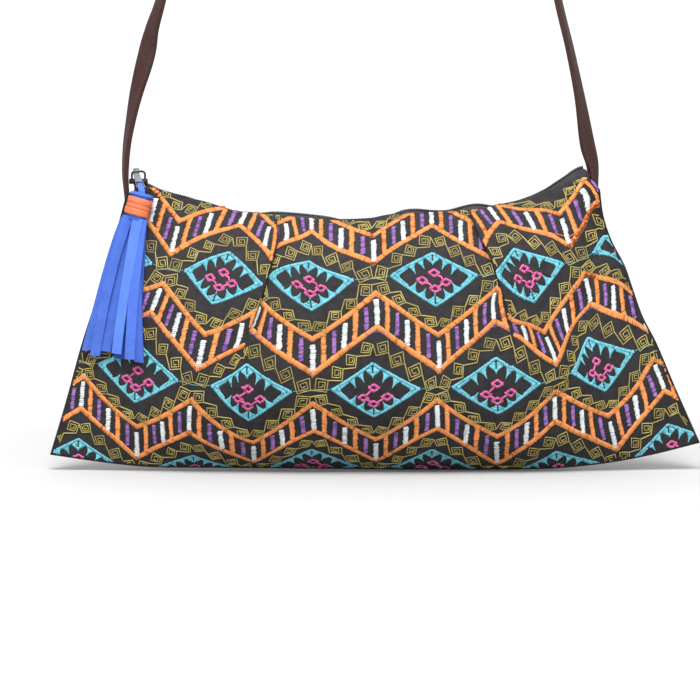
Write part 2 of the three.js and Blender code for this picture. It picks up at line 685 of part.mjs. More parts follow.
/** Strap as a flat band with rounded edges, turned as it goes. */
function strapGeometry() {
  const route = STRAP.map((row) => vec(row.x, row.y, row.z));
  const curve = new THREE.CatmullRomCurve3(route, false, 'centripetal');
  const keyed = STRAP.map((row, k) => ({ ...row, share: k / (STRAP.length - 1) }));
  const sections = [];
  for (let k = 0; k <= STRAP_STEPS; k += 1) {
    const share = k / STRAP_STEPS;
    const point = curve.getPoint(share);
    const ahead = curve.getTangent(share);
    const turn = degToRad(readTable(keyed, 'share', 'turn', share));
    const half = readTable(keyed, 'share', 'width', share) / 2;
    const back = vec(0, 1, 0).addScaledVector(ahead, -ahead.y).normalize();
    const side = ahead.clone().cross(back);
    const wide = side.clone().multiplyScalar(Math.cos(turn)).addScaledVector(back, Math.sin(turn));
    const deep = ahead.clone().cross(wide);
    const edge = STRAP_THICK / 2;
    const soft = 0.6;
    const corners = [[half, soft - edge], [half, edge - soft], [half - soft, edge], [soft - half, edge],
      [-half, edge - soft], [-half, soft - edge], [soft - half, -edge], [half - soft, -edge]];
    sections.push(corners.map(([w, d]) => point.clone().addScaledVector(wide, w).addScaledVector(deep, d)));
  }
  return loft(sections);
}

/** Named mesh with a finish of its own. */
function piece(name, geometry, color, roughness, metalness = 0) {
  const material = new THREE.MeshStandardMaterial({ color, roughness, metalness });
  const mesh = new THREE.Mesh(geometry, material);
  mesh.name = name;
  return mesh;
}

const pouch = new THREE.Group();
pouch.add(
  piece('front_panel', panelGeometry(-1), 0x1e1d22, 0.85),
  piece('back_panel', panelGeometry(1), 0x1e1d22, 0.85),
);

const zip = new THREE.Group();
zip.add(
  piece('zip_tape_front', tapeGeometry(-1), 0x2b2b31, 0.8),
  piece('zip_tape_back', tapeGeometry(1), 0x2b2b31, 0.8),
  piece('zip_teeth', teethGeometry(), 0x1f1f23, 0.45),
  piece('zip_slider', sliderGeometry(), 0x3d3d40, 0.35, 0.9),
);

const zipPull = new THREE.Group();
zipPull.add(
  piece('pull_tab', pullGeometry(), 0x8d9094, 0.3, 0.9),
  piece('tassel', tasselGeometry(), 0x2b4fd8, 0.9),
  piece('tassel_binding', bindingGeometry(), 0xe8622c, 0.6),
);

const bag = new THREE.Group();
bag.position.set(0, 0, -HANG_HEIGHT);
bag.add(pouch, zip, zipPull, piece('strap', strapGeometry(), 0x3b2521, 0.55));

export default bag;
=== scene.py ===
"""Looks of the embroidered crossbody bag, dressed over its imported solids.

Tables and sizes are millimetres in the bag's own frame: x from its centre line,
y towards the back and z from the level of its two top corners. The flat cloth is
measured across from its middle and down from its zip edge.
"""

import logging
import math
from collections.abc import Sequence
from dataclasses import dataclass, field
from enum import Enum

import bmesh
import bpy
import numpy as np
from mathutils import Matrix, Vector


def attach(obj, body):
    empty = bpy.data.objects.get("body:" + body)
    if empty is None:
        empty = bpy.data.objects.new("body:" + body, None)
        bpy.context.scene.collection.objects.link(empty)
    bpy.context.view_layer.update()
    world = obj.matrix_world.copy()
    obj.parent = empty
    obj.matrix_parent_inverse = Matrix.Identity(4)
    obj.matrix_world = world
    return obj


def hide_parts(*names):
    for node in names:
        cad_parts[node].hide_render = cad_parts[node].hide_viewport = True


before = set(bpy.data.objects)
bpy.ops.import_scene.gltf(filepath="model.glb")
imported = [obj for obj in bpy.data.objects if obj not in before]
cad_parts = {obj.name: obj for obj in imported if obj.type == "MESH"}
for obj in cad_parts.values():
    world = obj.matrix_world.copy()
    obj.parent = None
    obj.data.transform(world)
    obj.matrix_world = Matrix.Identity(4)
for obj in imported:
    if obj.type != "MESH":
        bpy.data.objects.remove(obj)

Array = np.ndarray
Colour = tuple[float, float, float, float]
Pair = tuple[float, float]
Triple = tuple[float, float, float]
Course = tuple[Pair, ...]
Skin = tuple[Array, list, Array]
Sockets = tuple[tuple[str, object], ...]
Tree = bpy.types.NodeTree
Node = bpy.types.Node
Socket = bpy.types.NodeSocket
Piece = bpy.types.Object
Mesh = bpy.types.Mesh
LOG = logging.getLogger("bag")
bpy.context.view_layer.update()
MM = 0.001
HANG_HEIGHT = 540.0
FLAT_UV = "flat"
TONE = "tone"
WELD = 1e-6
FLAT_ANGLE = math.radians(4)
EDGE_ANGLE = math.radians(50)
CREASE_ANGLE = math.radians(48)
WHITE_LIGHT: Colour = (1.0, 1.0, 1.0, 1.0)
AXIS_X = np.array([1.0, 0.0, 0.0])
AXIS_Y = np.array([0.0, 1.0, 0.0])


class Body(str, Enum):
    """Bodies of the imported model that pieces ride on."""

    BAG = "bag"
    PULL = "zip_pull"


class Slot(str, Enum):
    """Material slots of the record."""

    CLOTH = "embroidered_cloth"
    TAPE = "zip_tape"
    TEETH = "zip_teeth"
    ZIP_METAL = "zip_metal"
    PULL_METAL = "pull_metal"
    SUEDE = "tassel_suede"
    BINDING = "binding_thread"
    LEATHER = "strap_leather"


class Thread(str, Enum):
    """Embroidery threads, named by colour."""

    ORANGE = "orange"
    WHITE = "white"
    PURPLE = "purple"
    CYAN = "cyan"
    PINK = "pink"
    OLIVE = "olive"


class Mark(Enum):
    """Points of the pattern that can be told apart on the photo."""

    UPPER = "turn of a band's upper line"
    BAR = "middle of a bar between them"
    LOWER = "turn of a band's lower line"
    TOP = "top of a diamond"
    RIGHT = "right corner of a diamond"
    BOTTOM = "foot of a diamond"
    LEFT = "left corner of a diamond"


class Table:
    """Short table of named columns, read as smooth curves along its first column."""

    def __init__(self, columns: str, *rows: tuple[float, ...]) -> None:
        """Keeps the rows by column.

        Args:
            columns: Names of the columns, the key first.
            rows: Values in the order of the names.
        """
        grid = np.array(rows, float)
        self.key = grid[:, 0]
        self.columns = dict(zip(columns.split(), grid.T))

    def read(self, column: str, at: Array | float) -> Array:
        """Reads one column along the key.

        Args:
            column: Name of the column.
            at: Key values, held to the table's ends.

        Returns:
            The column's values on a curve through its rows.
        """
        key, value = self.key, self.columns[column]
        order = np.arange(len(key))
        before = np.maximum(order - 1, 0)
        after = np.minimum(order + 1, len(key) - 1)
        slope = (value[after] - value[before]) / (key[after] - key[before])
        at = np.asarray(at, float)
        i = np.clip(np.searchsorted(key, at) - 1, 0, len(key) - 2)
        span = key[i + 1] - key[i]
        t = np.clip((at - key[i]) / span, 0, 1)
        eased = t * t * (3 - 2 * t)
        bend = slope[i] * t * (1 - t) ** 2 - slope[i + 1] * t * t * (1 - t)
        return value[i] + (value[i + 1] - value[i]) * eased + span * bend


SIDES = Table(
    "v left right",
    (0, -125, 112.8), (0.1, -128.8, 114.8), (0.2, -133, 119.2), (0.3, -137, 126), (0.4, -141, 130.6),
    (0.5, -145.4, 135.4), (0.6, -149.6, 142.2), (0.8, -157, 153.4), (1, -165.1, 165.1),
)
TOP_EDGE = Table(
    "x z",
    (-125, -1.5), (-119, 1.3), (-113, 1.9), (-106, 0.2), (-97, -2.9), (-87, -5), (-76, -8.4), (-70, -10.1),
    (-60, -10.9), (-44, -12.5), (-28, -13.9), (-18, -14.4), (-2, -13.8), (5, -12.4), (13, -11.3), (36, -10),
    (51, -8.9), (62, -6.9), (72, -4.7), (80, -1.8), (85, 0.1), (90, 0.9), (95, 3.4), (100, 5.3), (104, 6.8),
    (108, 6.2), (112.8, 1),
)
BOTTOM_EDGE = Table(
    "x z",
    (-165.1, -133.6), (-139, -137.4), (-115, -139.8), (-80, -140.2), (-20, -140.6), (20, -141),
    (85, -140.8), (114, -138.4), (140, -133.8), (165.1, -127.5),
)
PROFILE = Table(
    "v depth drop",
    (0, 0.12, 0), (0.083, 0.42, 0.066), (0.199, 0.78, 0.17), (0.292, 0.93, 0.277), (0.407, 1, 0.41),
    (0.612, 0.98, 0.664), (0.821, 0.58, 0.866), (0.936, 0.22, 0.96), (1, 0, 1),
)
PLEATS = Table(
    "v left right rise",
    (0, -51, 47.8, 1), (0.05, -49.5, 49.4, 1), (0.1, -48.9, 51.4, 1), (0.14, -49.8, 53.5, 0.95),
    (0.2, -51.6, 57, 0.85), (0.34, -57.2, 63.6, 0.5), (0.45, -63.5, 67, 0.12), (0.55, -67, 69, 0),
    (1, -75, 76, 0),
)
TUCKED = Table(
    "v left right",
    (0, 22.9, 27), (0.12, 21.8, 26.2), (0.28, 17.3, 16.8), (0.45, 6.1, 2.5),
    (0.5, 2.4, 0), (0.56, 0, 0), (1, 0, 0),
)
DENT = Table("v x depth", (0.08, 112, 0), (0.22, 112, 3), (0.38, 107, 3), (0.55, 99, 1.2), (0.7, 94, 0))
RIDGE = Table(
    "x z",
    (-121.5, 4), (-116, 3.8), (-109, 0.5), (-101.6, -1.6), (-94, -3.6), (-88, -5.9), (-81, -8.6), (-71, -12),
    (-63, -12.4), (-59, -11.9), (-53, -10.9), (-45, -11.1), (-28, -12.7), (-20, -14.1), (-14, -15.9),
    (-2, -15.6), (4, -14.3), (8, -12.6), (11, -11.2), (15, -9.8), (21, -9.4), (29, -10.1), (36, -10.1),
    (40, -9.2), (45, -7.8), (51, -6.8), (57, -7.4), (63, -8.5), (68, -7.6), (75, -5.2), (81.6, -1.6),
    (87, 1.2), (91, 3.9), (96, 7.2), (100.6, 10.5), (104, 12), (106.3, 11.3), (108, 8.8),
)
STRAP_ROUTE = Table(
    "knot x y z turn width",
    (0, -124.8, 0, -8, 80, 5), (1, -125.6, 0, 0, 79, 5.2), (2, -126.1, 0, 9, 75, 7),
    (3, -125.2, 0, 23.4, 72, 9), (4, -123, 0, 36.6, 64, 9), (5, -120.3, 0, 49.3, 50, 9),
    (6, -115, 0, 68.6, 24, 9), (7, -112.2, 0, 81.3, 48, 9), (8, -107.2, 0, 97.5, 64, 9),
    (9, -83.5, 0, 201, 74, 9), (10, -58, 0, 315, 84, 9), (11, -26, 0, 460, 90, 9),
    (12, -12, 0, 528, 90, 9), (13, -8, 0, 537.4, 90, 9), (14, 0, 0, 541.2, 90, 9),
    (15, 8, 0, 537.4, 90, 9), (16, 12, 0, 528, 90, 9), (17, 23, 0, 460, 90, 9),
    (18, 49.5, 0, 315, 84, 9), (19, 71, 0, 201, 77, 9), (20, 91.4, 0, 97.5, 72, 9),
    (21, 97.8, 0, 71.6, 70, 9), (22, 103.1, 0.4, 47, 62, 9), (23, 107.2, 0.8, 23.4, 41, 9),
    (24, 109.6, 0.4, 13.7, 40, 7.2), (25, 110.4, 0, 4, 36, 4.6), (26, 110.2, 0, -8, 36, 4.6),
)
# Suede strips: start beside the head's axis, x and z of the cut end, and layer.
TASSEL_STRIPS = (
    (-3.1, -143.5, -79.5, 0), (-1, -138, -80.5, 0), (1.4, -128.6, -83.4, 0), (3, -120.4, -82.6, 0),
    (-3.6, -145.6, -79.7, 1), (0, -135.3, -79.8, 1), (0.2, -118.2, -84.6, 1),
    (-2.8, -141, -82.2, 2), (3.3, -122.8, -83.2, 2), (1.6, -129.6, -80.6, 2.4),
)

UPPER, BAR, LOWER, TOP, RIGHT, BOTTOM, LEFT = Mark
# Marks seen on the photo: kind, row, half repeats from the middle, and pixels across and down.
SEEN_LEFT = (
    (LOWER, 0, -3, 239.8, 224.9), (LOWER, 0, -4, 170.8, 253.9), (UPPER, 0, -4, 179.6, 221.2),
    (TOP, 0, -3, 229.2, 251.2), (RIGHT, 0, -3, 263.3, 284.5), (BOTTOM, 0, -3, 212.2, 304.5),
    (LEFT, 0, -3, 183.7, 270.2), (RIGHT, 0, -5, 153, 264), (UPPER, 1, -4, 162.9, 283.5),
    (UPPER, 1, -3, 205.1, 334.5), (LOWER, 1, -4, 151, 312), (LOWER, 1, -3, 197.3, 369.2),
    (RIGHT, 1, -4, 179, 380.8), (BOTTOM, 1, -4, 134.7, 402.9), (LEFT, 1, -4, 97.3, 363.7),
    (UPPER, 2, -4, 136.7, 426.9), (UPPER, 2, -5, 83.7, 375.9), (LOWER, 2, -4, 136.7, 458),
    (UPPER, 1, -2.333, 254, 312), (LOWER, 1, -2.333, 246.9, 343.7), (UPPER, 0, -2.5, 271.5, 223.5),
    (LOWER, 0, -2.5, 264.5, 247.9), (LOWER, 0, -2.333, 270.8, 257), (UPPER, 0, -2.333, 276.3, 228.3),
    (LOWER, 2, -5, 81, 408), (TOP, 2, -5, 78.6, 438), (TOP, 2, -3, 192.9, 454.9),
)
SEEN_LEFT_JOIN = (
    (TOP, 1, -2, 246.9, 363), (RIGHT, 1, -2, 292.9, 391.6), (BOTTOM, 1, -2, 249, 421.2),
    (LEFT, 1, -2, 210.2, 385.5), (UPPER, 2, -2, 253, 442.7), (UPPER, 2, -3, 190.8, 399.8),
    (LOWER, 2, -2, 254, 462), (LOWER, 2, -3, 189.2, 432),
)
SEEN_MIDDLE = (
    (UPPER, 0, 0, 373.5, 235.9), (LOWER, 0, 0, 374, 263), (LOWER, 0, -1, 312, 231), (LOWER, 0, 1, 432, 225),
    (TOP, 0, -1, 309.3, 260.3), (RIGHT, 0, -1, 354.6, 279.7), (BOTTOM, 0, -1, 311.7, 311),
    (LEFT, 0, -1, 267.7, 276.9), (TOP, 0, 1, 432.3, 252), (RIGHT, 0, 1, 478.5, 275),
    (BOTTOM, 0, 1, 436, 306.9), (LEFT, 0, 1, 389.4, 276), (UPPER, 1, -2, 260.2, 300.8),
    (UPPER, 1, -1, 312.5, 339.4), (UPPER, 1, 0, 375.5, 293.2), (UPPER, 1, 1, 438.2, 335.2),
    (UPPER, 1, 2, 496.5, 288.3), (LOWER, 1, -2, 251, 329), (LOWER, 1, -1, 313, 374),
    (LOWER, 1, 0, 377.2, 326.5), (LOWER, 1, 1, 439.3, 370.8), (LOWER, 1, 2, 494.2, 321),
    (TOP, 1, 0, 372.8, 362), (RIGHT, 1, 0, 421.2, 388.8), (BOTTOM, 1, 0, 374, 417.4),
    (LEFT, 1, 0, 330.6, 389.7), (UPPER, 2, -1, 312.5, 403.6), (UPPER, 2, 0, 375.9, 439.6),
    (UPPER, 2, 1, 437, 399.9), (LOWER, 2, -1, 314, 430.9), (LOWER, 2, 0, 375.9, 460.9),
    (LOWER, 2, 1, 437.5, 428.5), (TOP, 2, -1, 311.7, 448.9), (TOP, 2, 1, 432.3, 448.9),
    (UPPER, 1, 2.166, 500, 291.5), (LOWER, 1, 2.166, 506.5, 327), (UPPER, 0, -1.5, 284.6, 220.1),
    (LOWER, 0, -1.5, 286, 241.9), (LOWER, 0, -1.333, 296.7, 238.5),
)
SEEN_RIGHT_JOIN = (
    (TOP, 1, 2, 496, 356.4), (LEFT, 1, 2, 451.2, 387), (UPPER, 2, 2, 497, 436.7),
    (UPPER, 2, 3, 555.3, 391.6), (LOWER, 2, 2, 496.5, 464), (LOWER, 2, 3, 555, 421),
    (RIGHT, 1, 2, 541.5, 383.2), (BOTTOM, 1, 2, 498, 414.3),
)
SEEN_RIGHT = (
    (LOWER, 0, 3, 499.2, 221.2), (UPPER, 0, 4, 559.4, 214), (LOWER, 0, 4, 570.6, 245.7),
    (UPPER, 0, 4.667, 582.9, 180.4), (LOWER, 0, 4.667, 598.8, 203.6), (TOP, 0, 3, 513.5, 247.8),
    (UPPER, 0, 4.5, 579.2, 187.4), (LOWER, 0, 4.5, 588.6, 213.2), (UPPER, 0, 4.333, 572.8, 197.4),
    (LOWER, 0, 4.333, 584, 224.6), (RIGHT, 0, 3, 564.5, 263), (BOTTOM, 0, 3, 534.9, 302.9),
    (LEFT, 0, 3, 494, 274.3), (LEFT, 0, 5, 592, 253.9), (UPPER, 1, 3, 544, 332.4),
    (UPPER, 1, 4, 583.9, 273.3), (UPPER, 1, 5, 639, 297.8), (LOWER, 1, 3, 556.3, 364),
    (LOWER, 1, 4, 590, 303.9), (LOWER, 1, 5, 648, 331), (TOP, 1, 4, 588, 336.5),
    (RIGHT, 1, 4, 634.9, 350.8), (BOTTOM, 1, 4, 605.3, 391.6), (LEFT, 1, 4, 570.6, 373),
    (UPPER, 2, 4, 608.4, 416), (UPPER, 2, 5, 653, 359), (LOWER, 2, 4, 616.5, 449.8),
    (LOWER, 2, 5, 664.5, 390.6), (TOP, 2, 5, 667.6, 423.3), (TOP, 2, 3, 556, 450.8),
    (UPPER, 1, 2.333, 511.8, 319.6), (LOWER, 1, 2.333, 518, 336), (LOWER, 0, 2.833, 493.8, 227.2),
    (LOWER, 0, 2.667, 487.4, 236.3), (LOWER, 0, 2.5, 483.6, 245.2), (BAR, 0, 2.667, 479.7, 222.1),
)


def smoothstep(value: Array, low: float, high: float) -> Array:
    """Soft step from 0 at low to 1 at high."""
    t = np.clip((np.asarray(value, float) - low) / (high - low), 0, 1)
    return t * t * (3 - 2 * t)


def unit(vectors: Array) -> Array:
    """Vectors scaled to length one."""
    return vectors / np.maximum(np.linalg.norm(vectors, axis=-1, keepdims=True), 1e-9)


def to_row_frame(points: Array) -> Array:
    """Bag-frame millimetres as metres in the shared frame."""
    return (np.asarray(points, float) + (0.0, 0.0, -HANG_HEIGHT)) * MM


def linear(hex_colour: str) -> Colour:
    """Linear colour of a display colour such as 'e8622c'."""
    parts = [int(hex_colour[i:i + 2], 16) / 255 for i in (0, 2, 4)]
    return tuple(p / 12.92 if p <= 0.04045 else ((p + 0.055) / 1.055) ** 2.4 for p in parts) + (1.0,)


def add_object(name: str, mesh: Mesh) -> Piece:
    """New object of a mesh, linked to the scene.

    Args:
        name: Name of the object.
        mesh: Its mesh.

    Returns:
        The object, at the origin.
    """
    piece = bpy.data.objects.new(name, mesh)
    bpy.context.scene.collection.objects.link(piece)
    return piece


def aim_at(thing: Piece, place: Sequence[float], target: Sequence[float]) -> None:
    """Places a camera or lamp, points it and links it to the scene.

    Args:
        thing: Camera or lamp.
        place: Where it stands, in the bag's own frame.
        target: What it points at.
    """
    thing.location = Vector(to_row_frame(place))
    toward = Vector(to_row_frame(target)) - thing.location
    thing.rotation_euler = toward.to_track_quat("-Z", "Y").to_euler()
    bpy.context.scene.collection.objects.link(thing)


def turn_outwards(mesh: Mesh) -> None:
    """Turns the faces of a mesh of closed shells outwards.

    Args:
        mesh: Mesh to change.
    """
    shell = bmesh.new()
    shell.from_mesh(mesh)
    bmesh.ops.recalc_face_normals(shell, faces=shell.faces[:])
    shell.to_mesh(mesh)
    shell.free()


def repeated_shape(name: str, points: Sequence, faces: Sequence) -> Piece:
    """Small closed shape that a Geometry Nodes tool repeats.

    Args:
        name: Name of the shape.
        points: Its corners, before the tool's scale.
        faces: Corner numbers of each face.

    Returns:
        The shape, kept out of the renders until main removes it.
    """
    mesh = bpy.data.meshes.new(name)
    mesh.from_pydata(points, [], faces)
    turn_outwards(mesh)
    piece = add_object(name, mesh)
    piece.hide_render = True
    return piece


def store(mesh: Mesh, label: str, values: Array) -> None:
    """Stores a number or a direction for each point of a mesh."""
    kind, key = ("FLOAT", "value") if np.ndim(values) == 1 else ("FLOAT_VECTOR", "vector")
    mesh.attributes.new(label, kind, "POINT").data.foreach_set(key, np.ravel(values).astype(np.float32))


def grid_faces(rows: int, columns: int, first: int = 0) -> list[tuple[int, ...]]:
    """Quads of a grid of points counted row by row from first."""
    corners = [(first + i * columns + j) for i in range(rows - 1) for j in range(columns - 1)]
    return [(a, a + 1, a + columns + 1, a + columns) for a in corners]


def build_mesh(name: str, points: Array, faces: Sequence, uv: Array | None = None) -> Mesh:
    """Closed mesh of bag-frame points, with its faces turned outwards.

    Args:
        name: Mesh name.
        points: Places in the bag's own frame.
        faces: Corner numbers of each face.
        uv: Millimetres along the surface for each point, if the finish follows it.

    Returns:
        The mesh, smooth shaded, in the shared frame.
    """
    mesh = bpy.data.meshes.new(name)
    mesh.from_pydata(to_row_frame(points).tolist(), [], faces)
    if uv is not None:
        corners = np.empty(len(mesh.loops), np.int32)
        mesh.loops.foreach_get("vertex_index", corners)
        layer = mesh.uv_layers.new(name=FLAT_UV)
        layer.data.foreach_set("uv", (np.asarray(uv)[corners] * MM).ravel())
    turn_outwards(mesh)
    mesh.shade_smooth()
    return mesh


def loft(sections: Array) -> Skin:
    """Closed skin through a row of closed sections.

    Args:
        sections: Stations by corners by 3.

    Returns:
        Points, faces and millimetres along and around for each point.
    """
    stations, corners = sections.shape[:2]
    along = np.cumsum(np.r_[0, np.linalg.norm(np.diff(sections.mean(1), axis=0), axis=1)])
    around = np.linalg.norm(sections - np.roll(sections, 1, axis=1), axis=2).mean(0)
    around = np.cumsum(around) - around[0]
    uv = np.stack(np.broadcast_arrays(along[:, None], around[None, :]), -1).reshape(-1, 2)
    faces = []
    for here in range(0, (stations - 1) * corners, corners):
        for j in range(corners):
            k = (j + 1) % corners
            faces.append((here + j, here + k, here + corners + k, here + corners + j))
    faces.append(tuple(range(corners))[::-1])
    faces.append(tuple(range((stations - 1) * corners, stations * corners)))
    return sections.reshape(-1, 3), faces, uv


def rounded_bar(width: float, thick: float, soft: float, steps: int = 3) -> Array:
    """Section of a flat bar with rounded edges.

    Args:
        width: Whole width.
        thick: Whole thickness.
        soft: Radius of the edges.
        steps: Straight parts of each rounded edge.

    Returns:
        Corners as (across, through) pairs.
    """
    corners = []
    for turn, (x, y) in enumerate([(1, 1), (-1, 1), (-1, -1), (1, -1)]):
        for k in range(steps + 1):
            angle = math.pi / 2 * (turn + k / steps)
            corners.append((
                x * (width / 2 - soft) + soft * math.cos(angle),
                y * (thick / 2 - soft) + soft * math.sin(angle),
            ))
    return np.array(corners)


def sweep(points: Array, wide: Array, deep: Array, profile: Array) -> Array:
    """Sections of one profile set square on a path."""
    return points[:, None] + wide[:, None] * profile[None, :, :1] + deep[:, None] * profile[None, :, 1:]


def through_points(knots: Array, share: Array) -> Array:
    """Centripetal curve through knots.

    Args:
        knots: Points that the curve passes through.
        share: Places on the curve from 0 to 1, each stretch between knots counting the same.

    Returns:
        Points on the curve.
    """
    padded = np.vstack([2 * knots[0] - knots[1], knots, 2 * knots[-1] - knots[-2]])
    at = np.asarray(share) * (len(knots) - 1)
    i = np.clip(at.astype(int), 0, len(knots) - 2)
    t = (at - i)[:, None]
    a, b, c, d = (padded[i + k] for k in range(4))
    gaps = [np.sqrt(np.linalg.norm(q - p, axis=1, keepdims=True)) for p, q in ((a, b), (b, c), (c, d))]
    first, middle, last = gaps
    leave = ((b - a) / first - (c - a) / (first + middle) + (c - b) / middle) * middle
    arrive = ((c - b) / middle - (d - b) / (middle + last) + (d - c) / last) * middle
    return (
        (2 * t ** 3 - 3 * t ** 2 + 1) * b + (t ** 3 - 2 * t ** 2 + t) * leave
        + (3 * t ** 2 - 2 * t ** 3) * c + (t ** 3 - t ** 2) * arrive
    )


def add_node(tree: Tree, kind: str, inputs: dict | None = None, **settings: object) -> Node:
    """Adds a node, sets it and wires it.

    Args:
        tree: Tree that takes the node.
        kind: Blender's name of the node type.
        inputs: Values or sockets by input name or number.
        settings: Properties of the node.

    Returns:
        The new node.
    """
    node = tree.nodes.new(kind)
    for name, value in settings.items():
        setattr(node, name, value)
    for key, value in (inputs or {}).items():
        if isinstance(value, Socket):
            tree.links.new(value, node.inputs[key])
        else:
            node.inputs[key].default_value = value
    return node


def math_node(tree: Tree, operation: str, *values: float) -> Socket:
    """Result of a Math node on values or sockets."""
    return add_node(tree, "ShaderNodeMath", dict(enumerate(values)), operation=operation).outputs[0]


def mix_colours(tree: Tree, share: object, low: object, high: object) -> Socket:
    """Colour between two colours or colour sockets."""
    node = add_node(tree, "ShaderNodeMix", {0: share, 6: low, 7: high}, data_type="RGBA")
    return node.outputs[2]


def shader_group(
    name: str, inputs: dict[str, tuple[str, object]], outputs: dict[str, str]
) -> tuple[Tree, bpy.types.bpy_prop_collection, Node]:
    """Empty shader node group with named sockets.

    Args:
        name: Group name.
        inputs: Socket type and default by input name.
        outputs: Socket type by output name.

    Returns:
        The tree, its input sockets by name and its output node.
    """
    tree = bpy.data.node_groups.new(name, "ShaderNodeTree")
    for label, (kind, default) in inputs.items():
        socket = tree.interface.new_socket(name=label, in_out="INPUT", socket_type=kind)
        if default is not None:
            socket.default_value = default
    for label, kind in outputs.items():
        tree.interface.new_socket(name=label, in_out="OUTPUT", socket_type=kind)
    return tree, add_node(tree, "NodeGroupInput").outputs, add_node(tree, "NodeGroupOutput")


class Effects:
    """Shader node groups that several finishes share."""

    FLOAT = "NodeSocketFloat"
    VECTOR = "NodeSocketVector"
    WOBBLE_SCALE = 260.0
    WOBBLE_DETAIL = 2.0
    WOBBLE_SHIFT = 0.0011
    THREAD_SHARE = 0.35
    HEIGHT_GAIN = 0.37
    HEIGHT_MIDDLE = 0.5
    SHADE_OF_WOBBLE = 0.7
    SHADE_OF_HEIGHT = 0.45
    PATCH_DETAIL = 3.0
    PATCH_GAIN = 1.4
    PATCH_SHIFT = -0.9
    FINE_GRAIN = 2.2
    FINE_HEIGHT = 0.5
    PORE_BELOW = 0.4

    def __init__(self) -> None:
        """Builds each group once."""
        self.weave = self._weave()
        self.mottle = self._mottle()
        self.grain = self._grain()

    def _weave(self) -> Tree:
        """Diagonal twill ribs crossed by finer threads, on a surface's own millimetres.

        Returns:
            The group's tree.
        """
        tree, given, put = shader_group("twill weave", {
            "Place": (self.VECTOR, None),
            "Rib Pitch": (self.FLOAT, 0.0007), "Thread Pitch": (self.FLOAT, 0.0004),
        }, {"Height": self.FLOAT, "Shade": self.FLOAT})
        wobble = self._noise(tree, given["Place"], self.WOBBLE_SCALE, self.WOBBLE_DETAIL)
        shift = math_node(tree, "MULTIPLY", wobble, self.WOBBLE_SHIFT)
        place = add_node(tree, "ShaderNodeSeparateXYZ", {0: given["Place"]}).outputs
        slant = math_node(tree, "ADD", math_node(tree, "ADD", place[0], place[1]), shift)
        rib = self._wave(tree, slant, given["Rib Pitch"])
        thread = self._wave(tree, place[0], given["Thread Pitch"])
        height = math_node(tree, "MULTIPLY_ADD", thread, self.THREAD_SHARE, rib)
        height = math_node(tree, "MULTIPLY_ADD", height, self.HEIGHT_GAIN, self.HEIGHT_MIDDLE)
        tree.links.new(height, put.inputs["Height"])
        # Colour share: paler on the ribs and darker in the grooves as painted shade, plus random patches from
        # the wobble.
        shade = math_node(tree, "MULTIPLY", height, self.SHADE_OF_HEIGHT)
        shade = math_node(tree, "MULTIPLY_ADD", wobble, self.SHADE_OF_WOBBLE, shade)
        tree.links.new(shade, put.inputs["Shade"])
        return tree

    def _mottle(self) -> Tree:
        """Soft uneven patches at two sizes.

        Returns:
            The group's tree.
        """
        tree, given, put = shader_group("mottle", {
            "Place": (self.VECTOR, None), "Broad": (self.FLOAT, 25.0), "Fine": (self.FLOAT, 400.0),
        }, {"Value": self.FLOAT})
        broad, fine = (
            self._noise(tree, given["Place"], given[size], self.PATCH_DETAIL) for size in ("Broad", "Fine")
        )
        total = math_node(tree, "ADD", broad, fine)
        value = math_node(tree, "MULTIPLY_ADD", total, self.PATCH_GAIN, self.PATCH_SHIFT)
        tree.links.new(value, put.inputs["Value"])
        return tree

    def _grain(self) -> Tree:
        """Pebbled leather grain with pores.

        Returns:
            The group's tree.
        """
        tree, given, put = shader_group("leather grain", {
            "Place": (self.VECTOR, None), "Scale": (self.FLOAT, 900.0),
        }, {"Height": self.FLOAT, "Pores": self.FLOAT})
        cells = add_node(
            tree, "ShaderNodeTexVoronoi", {"Vector": given["Place"], "Scale": given["Scale"]},
            feature="DISTANCE_TO_EDGE",
        )
        scale = math_node(tree, "MULTIPLY", given["Scale"], self.FINE_GRAIN)
        fine = self._noise(tree, given["Place"], scale, self.PATCH_DETAIL)
        height = math_node(tree, "MULTIPLY_ADD", fine, self.FINE_HEIGHT, cells.outputs[0])
        tree.links.new(height, put.inputs["Height"])
        pores = math_node(tree, "LESS_THAN", fine, self.PORE_BELOW)
        tree.links.new(pores, put.inputs["Pores"])
        return tree

    @staticmethod
    def _noise(tree: Tree, place: Socket, scale: object, detail: float) -> Socket:
        """Soft noise of a scale."""
        inputs = {"Vector": place, "Scale": scale, "Detail": detail}
        return add_node(tree, "ShaderNodeTexNoise", inputs).outputs[0]

    @staticmethod
    def _wave(tree: Tree, place: Socket, pitch: Socket) -> Socket:
        """Even wave of a pitch."""
        turns = math_node(tree, "DIVIDE", place, pitch)
        return math_node(tree, "SINE", math_node(tree, "MULTIPLY", turns, 2 * math.pi))


EFFECTS = Effects()


